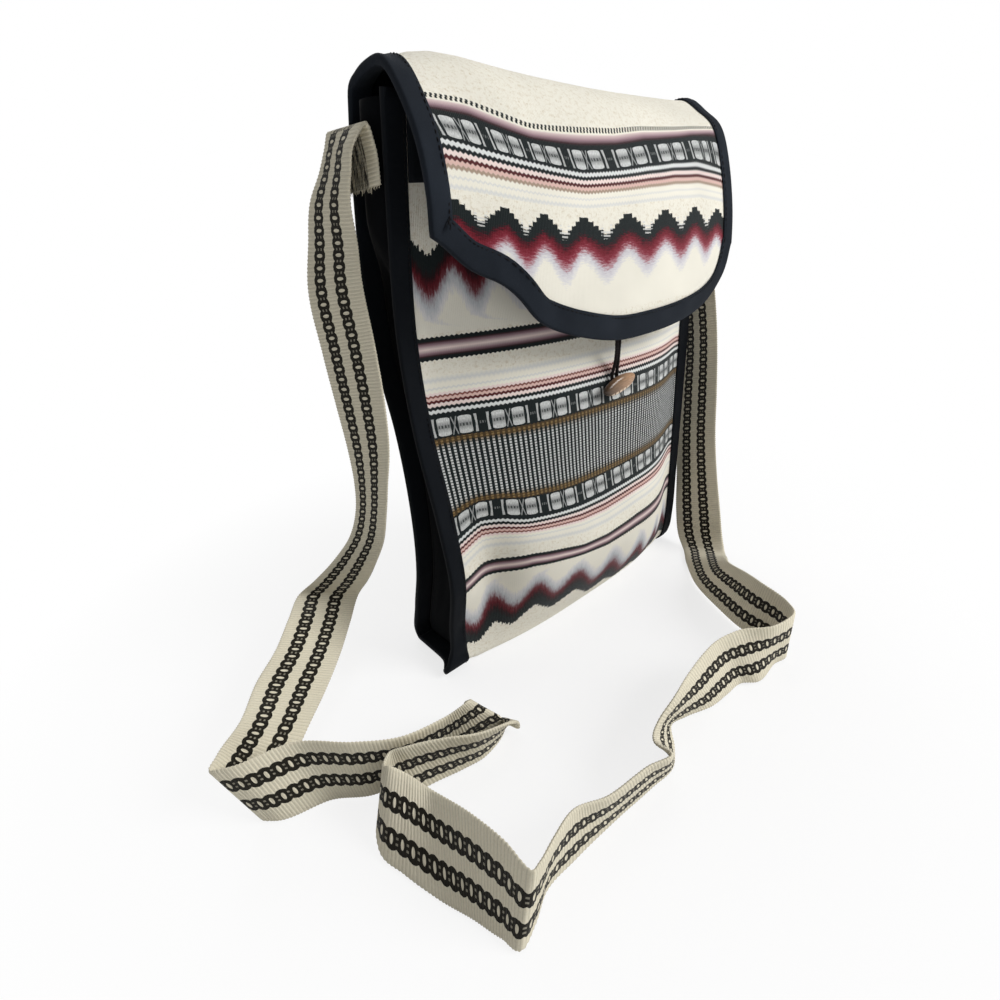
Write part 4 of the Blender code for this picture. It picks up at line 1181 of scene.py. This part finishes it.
class BAG_OT_closure(bpy.types.Operator):
    """Adds the toggle button, its thread and the cord loop"""

    bl_idname = "bag.closure"
    bl_label = "Button and loop"

    def execute(self, context):
        cloth = strip(BUTTON_ACROSS, np.linspace(0, BOTTOM_ALONG, 300))
        face = np.interp(-BUTTON_HEIGHT, -cloth[:, 2], cloth[:, 1])
        back = face - BUTTON_STANDOFF
        self.button(back)
        self.shank(face, back)
        self.loop(face)
        return {"FINISHED"}

    def button(self, back):
        """A rounded oval slice: rings that follow a round at each rim, with a low dome in front."""
        tilt = np.radians(BUTTON_TILT)
        turns = np.linspace(0, 2 * np.pi, 64, endpoint=False)
        profile = [
            (0.02, 0.1), (0.4, 0.06), (0.75, 0.05), (0.9, 0.1), (0.97, 0.22), (1.0, 0.42), (0.985, 0.62),
            (0.93, 0.78), (0.82, 0.88), (0.6, 0.95), (0.35, 0.99), (0.02, 1.0),
        ]
        uneven = 1 + 0.03 * np.sin(2 * turns + 1) + 0.02 * np.sin(5 * turns)
        rings, flats = [], []
        for share, height in profile:
            long_way = BUTTON_LENGTH / 2 * share * np.cos(turns) * uneven
            short_way = BUTTON_WIDTH / 2 * share * np.sin(turns) * uneven
            across = BUTTON_ACROSS + long_way * np.cos(tilt) - short_way * np.sin(tilt)
            up = BUTTON_HEIGHT + long_way * np.sin(tilt) + short_way * np.cos(tilt)
            rings.append(np.stack([across, np.full_like(across, back - height * BUTTON_THICKNESS), up], -1))
            flats.append(np.stack([long_way, short_way], -1))
        button = loft("shell_toggle", rings, made("button_wood"), {"weave": np.stack(flats)})
        seat(button, "button_wood", "toggle_button")

    def shank(self, face, back):
        """A short wrapped post of thread: a cylinder with small waves down its length."""
        turns = np.linspace(0, 2 * np.pi, 20, endpoint=False)
        depths = np.linspace(face - PLY_GAP, back + PLY_GAP, 19)
        radius = (SHANK / 2 + 0.12 * np.cos(np.arange(len(depths)) * np.pi))[:, None]
        across, up = BUTTON_ACROSS + radius * np.cos(turns), BUTTON_HEIGHT + radius * np.sin(turns)
        rings = np.stack(np.broadcast_arrays(across, depths[:, None], up), -1)
        flats = np.stack(np.broadcast_arrays(turns[None, :], depths[:, None]), -1)
        shank = loft("button_shank", rings, made("sewing_thread"), {"weave": flats})
        seat(shank, "sewing_thread", "button_thread")

    def loop(self, face):
        """Two close strands of cord from behind the flap's edge down to the shank, and round it."""
        edge_across, edge_along = flap_outline(4)
        lip = float(np.interp(LOOP_ACROSS, edge_across, edge_along))
        deep = -TAPE_IN - SEAM_GAP - LOOP_CORD / 2
        hidden, under = (layer(np.array([LOOP_ACROSS]), np.array([lip + by]), deep)[0] for by in (-8, 2))
        behind = face - BUTTON_STANDOFF / 2
        low = BUTTON_HEIGHT - LOOP_DROP
        eye = [
            (LOOP_SPREAD, behind, BUTTON_HEIGHT + 4),
            (LOOP_SPREAD * 0.7, behind, low + 1),
        ]
        path = np.array([
            (hidden[0] - 2, hidden[1], hidden[2]),
            (under[0] - 1.2, under[1], under[2]),
            (BUTTON_ACROSS - 2.2, behind - 2.5, BUTTON_HEIGHT + 13),
            *((BUTTON_ACROSS - off, depth, height) for off, depth, height in eye),
            (BUTTON_ACROSS, behind, low - 1),
            *((BUTTON_ACROSS + off, depth, height) for off, depth, height in eye[::-1]),
            (BUTTON_ACROSS + 0.4, behind - 2.5, BUTTON_HEIGHT + 13),
            (hidden[0] + 1.2, under[1], under[2]),
            (hidden[0] + 2, hidden[1], hidden[2]),
        ])
        knots = lengths(path)
        at = even(0, knots[-1], 0.6)
        line = spline(path, knots, at)
        way = unit(np.gradient(line, axis=0))
        side = unit(np.cross(way, [0.0, -1.0, 0.0]))
        angles = np.linspace(0, 2 * np.pi, 16, endpoint=False)
        ply = 1 - 0.16 * np.abs(np.cos(angles[None, :] - at[:, None] * 2 * np.pi / LOOP_TWIST))
        points = tube(line, side, np.cross(way, side), LOOP_CORD / 2 * ply, angles)
        flats = np.stack(np.broadcast_arrays(angles[None, :] * 0.5, at[:, None]), -1)
        cord = loft("closing_loop", points, made("loop_cord"), {"weave": flats})
        seat(cord, "loop_cord", "button_loop")


def aimed(name, data, place, right, top, back):
    """An object at a place in metres, whose own axes lie along the three ways given."""
    turned = np.eye(4)
    turned[:3] = np.stack([right, top, back, np.array(place)], 1)
    piece = bpy.data.objects.new(name, data)
    piece.matrix_world = Matrix(turned.tolist())
    bpy.context.scene.collection.objects.link(piece)
    return piece


class BAG_OT_stage(bpy.types.Operator):
    """Adds the floor, the backdrop's colour, the lamps and the camera"""

    bl_idname = "bag.stage"
    bl_label = "Stage"

    def execute(self, context):
        context.scene.camera = self.camera()
        self.floor()
        self.lamps()
        context.scene.world = self.world()
        context.scene.view_settings.view_transform = "Standard"
        return {"FINISHED"}

    def camera(self):
        yaw, pitch, roll = CAMERA_YAW, CAMERA_PITCH, CAMERA_ROLL
        ahead = np.array([np.sin(yaw) * np.cos(pitch), np.cos(yaw) * np.cos(pitch), -np.sin(pitch)])
        level = np.array([np.cos(yaw), -np.sin(yaw), 0])
        up = np.cross(level, ahead)
        right = level * np.cos(roll) + up * np.sin(roll)
        top = up * np.cos(roll) - level * np.sin(roll)
        view = bpy.data.cameras.new("photo_view")
        view.lens, view.sensor_width, view.clip_start = CAMERA_LENS, CAMERA_SENSOR, 0.01
        return aimed("photo_view", view, CAMERA_PLACE, right, top, -ahead)

    def floor(self):
        """A wide white floor. What the camera, a reflection or glass sees of it glows white, and less so
        near the bag, where it keeps the bag's shadow."""
        g = Graph("floor_white", 1.0)
        path = g.add("ShaderNodeLightPath")
        seen = g.either(*(path.outputs[f"Is {ray} Ray"] for ray in ("Camera", "Glossy", "Transmission")))
        far = g.add("ShaderNodeVectorMath", g.place(), operation="LENGTH").outputs["Value"]
        g.put((0.94, 0.94, 0.94), g.shader.inputs["Base Color"])
        g.shader.inputs["Specular IOR Level"].default_value = 0.0
        glow = g.add("ShaderNodeEmission", (1.0, 1.0, 1.0), 1.0)
        share = g.times(seen, g.spread(far, 0.1, 0.4, 0.72, 1.0))
        blend = g.add("ShaderNodeMixShader", share, g.shader.outputs[0], glow.outputs[0])
        g.put(blend.outputs[0], g.tree.nodes["Material Output"].inputs[0])
        corners = np.array([(-1, -1, 0), (1, -1, 0), (1, 1, 0), (-1, 1, 0)]) * FLOOR_REACH
        floor = mesh_object("floor", corners - [0, 0, FLOOR_DROP], [[0, 1, 2, 3]], g.material)

    def lamps(self):
        for name, place, size, power in LAMPS:
            light = bpy.data.lights.new(name, "AREA")
            light.size, light.energy = size, power
            back = unit(np.array(place) - np.array(LAMP_TARGET))
            side = unit(np.cross([0, 0, 1], back))
            aimed(name, light, place, side, np.cross(back, side), back)

    def world(self):
        """White to the camera and through glass, and a weak even light to all else."""
        world = bpy.data.worlds.new("studio")
        world.use_nodes = True
        tree = world.node_tree
        background = tree.nodes["Background"]
        path = tree.nodes.new("ShaderNodeLightPath")
        level = tree.nodes.new("ShaderNodeMapRange")
        level.inputs["To Min"].default_value = WORLD_LIGHT
        seen = tree.nodes.new("ShaderNodeMath")
        seen.operation = "MAXIMUM"
        tree.links.new(path.outputs["Is Camera Ray"], seen.inputs[0])
        tree.links.new(path.outputs["Is Transmission Ray"], seen.inputs[1])
        tree.links.new(seen.outputs[0], level.inputs["Value"])
        tree.links.new(level.outputs[0], background.inputs["Strength"])
        background.inputs["Color"].default_value = (1, 1, 1, 1)
        return world


class BAG_PT_panel(bpy.types.Panel):
    """Lists the pieces that can be added"""

    bl_idname = "BAG_PT_panel"
    bl_label = "Woven Bag"
    bl_space_type = "VIEW_3D"
    bl_region_type = "UI"
    bl_category = "Woven Bag"

    def draw(self, context):
        for operator in PIECES:
            self.layout.operator(operator.bl_idname)
        for group in (context.scene.bag_sizes, context.scene.bag_colours):
            box = self.layout.box()
            for key in group.__annotations__:
                box.prop(group, key)


PIECES = (BAG_OT_stage, BAG_OT_strap, BAG_OT_cloth, BAG_OT_bindings, BAG_OT_gussets, BAG_OT_closure)
CLASSES = (BagSizes, BagColours, *PIECES, BAG_PT_panel)


def register():
    for made_class in CLASSES:
        bpy.utils.register_class(made_class)
    bpy.types.Scene.bag_sizes = PointerProperty(type=BagSizes)
    bpy.types.Scene.bag_colours = PointerProperty(type=BagColours)


def unregister():
    del bpy.types.Scene.bag_colours
    del bpy.types.Scene.bag_sizes
    for made_class in reversed(CLASSES):
        bpy.utils.unregister_class(made_class)


def main():
    register()
    for operator in PIECES:
        group, name = operator.bl_idname.split(".")
        getattr(getattr(bpy.ops, group), name)()


if __name__ == "__main__":
    main()
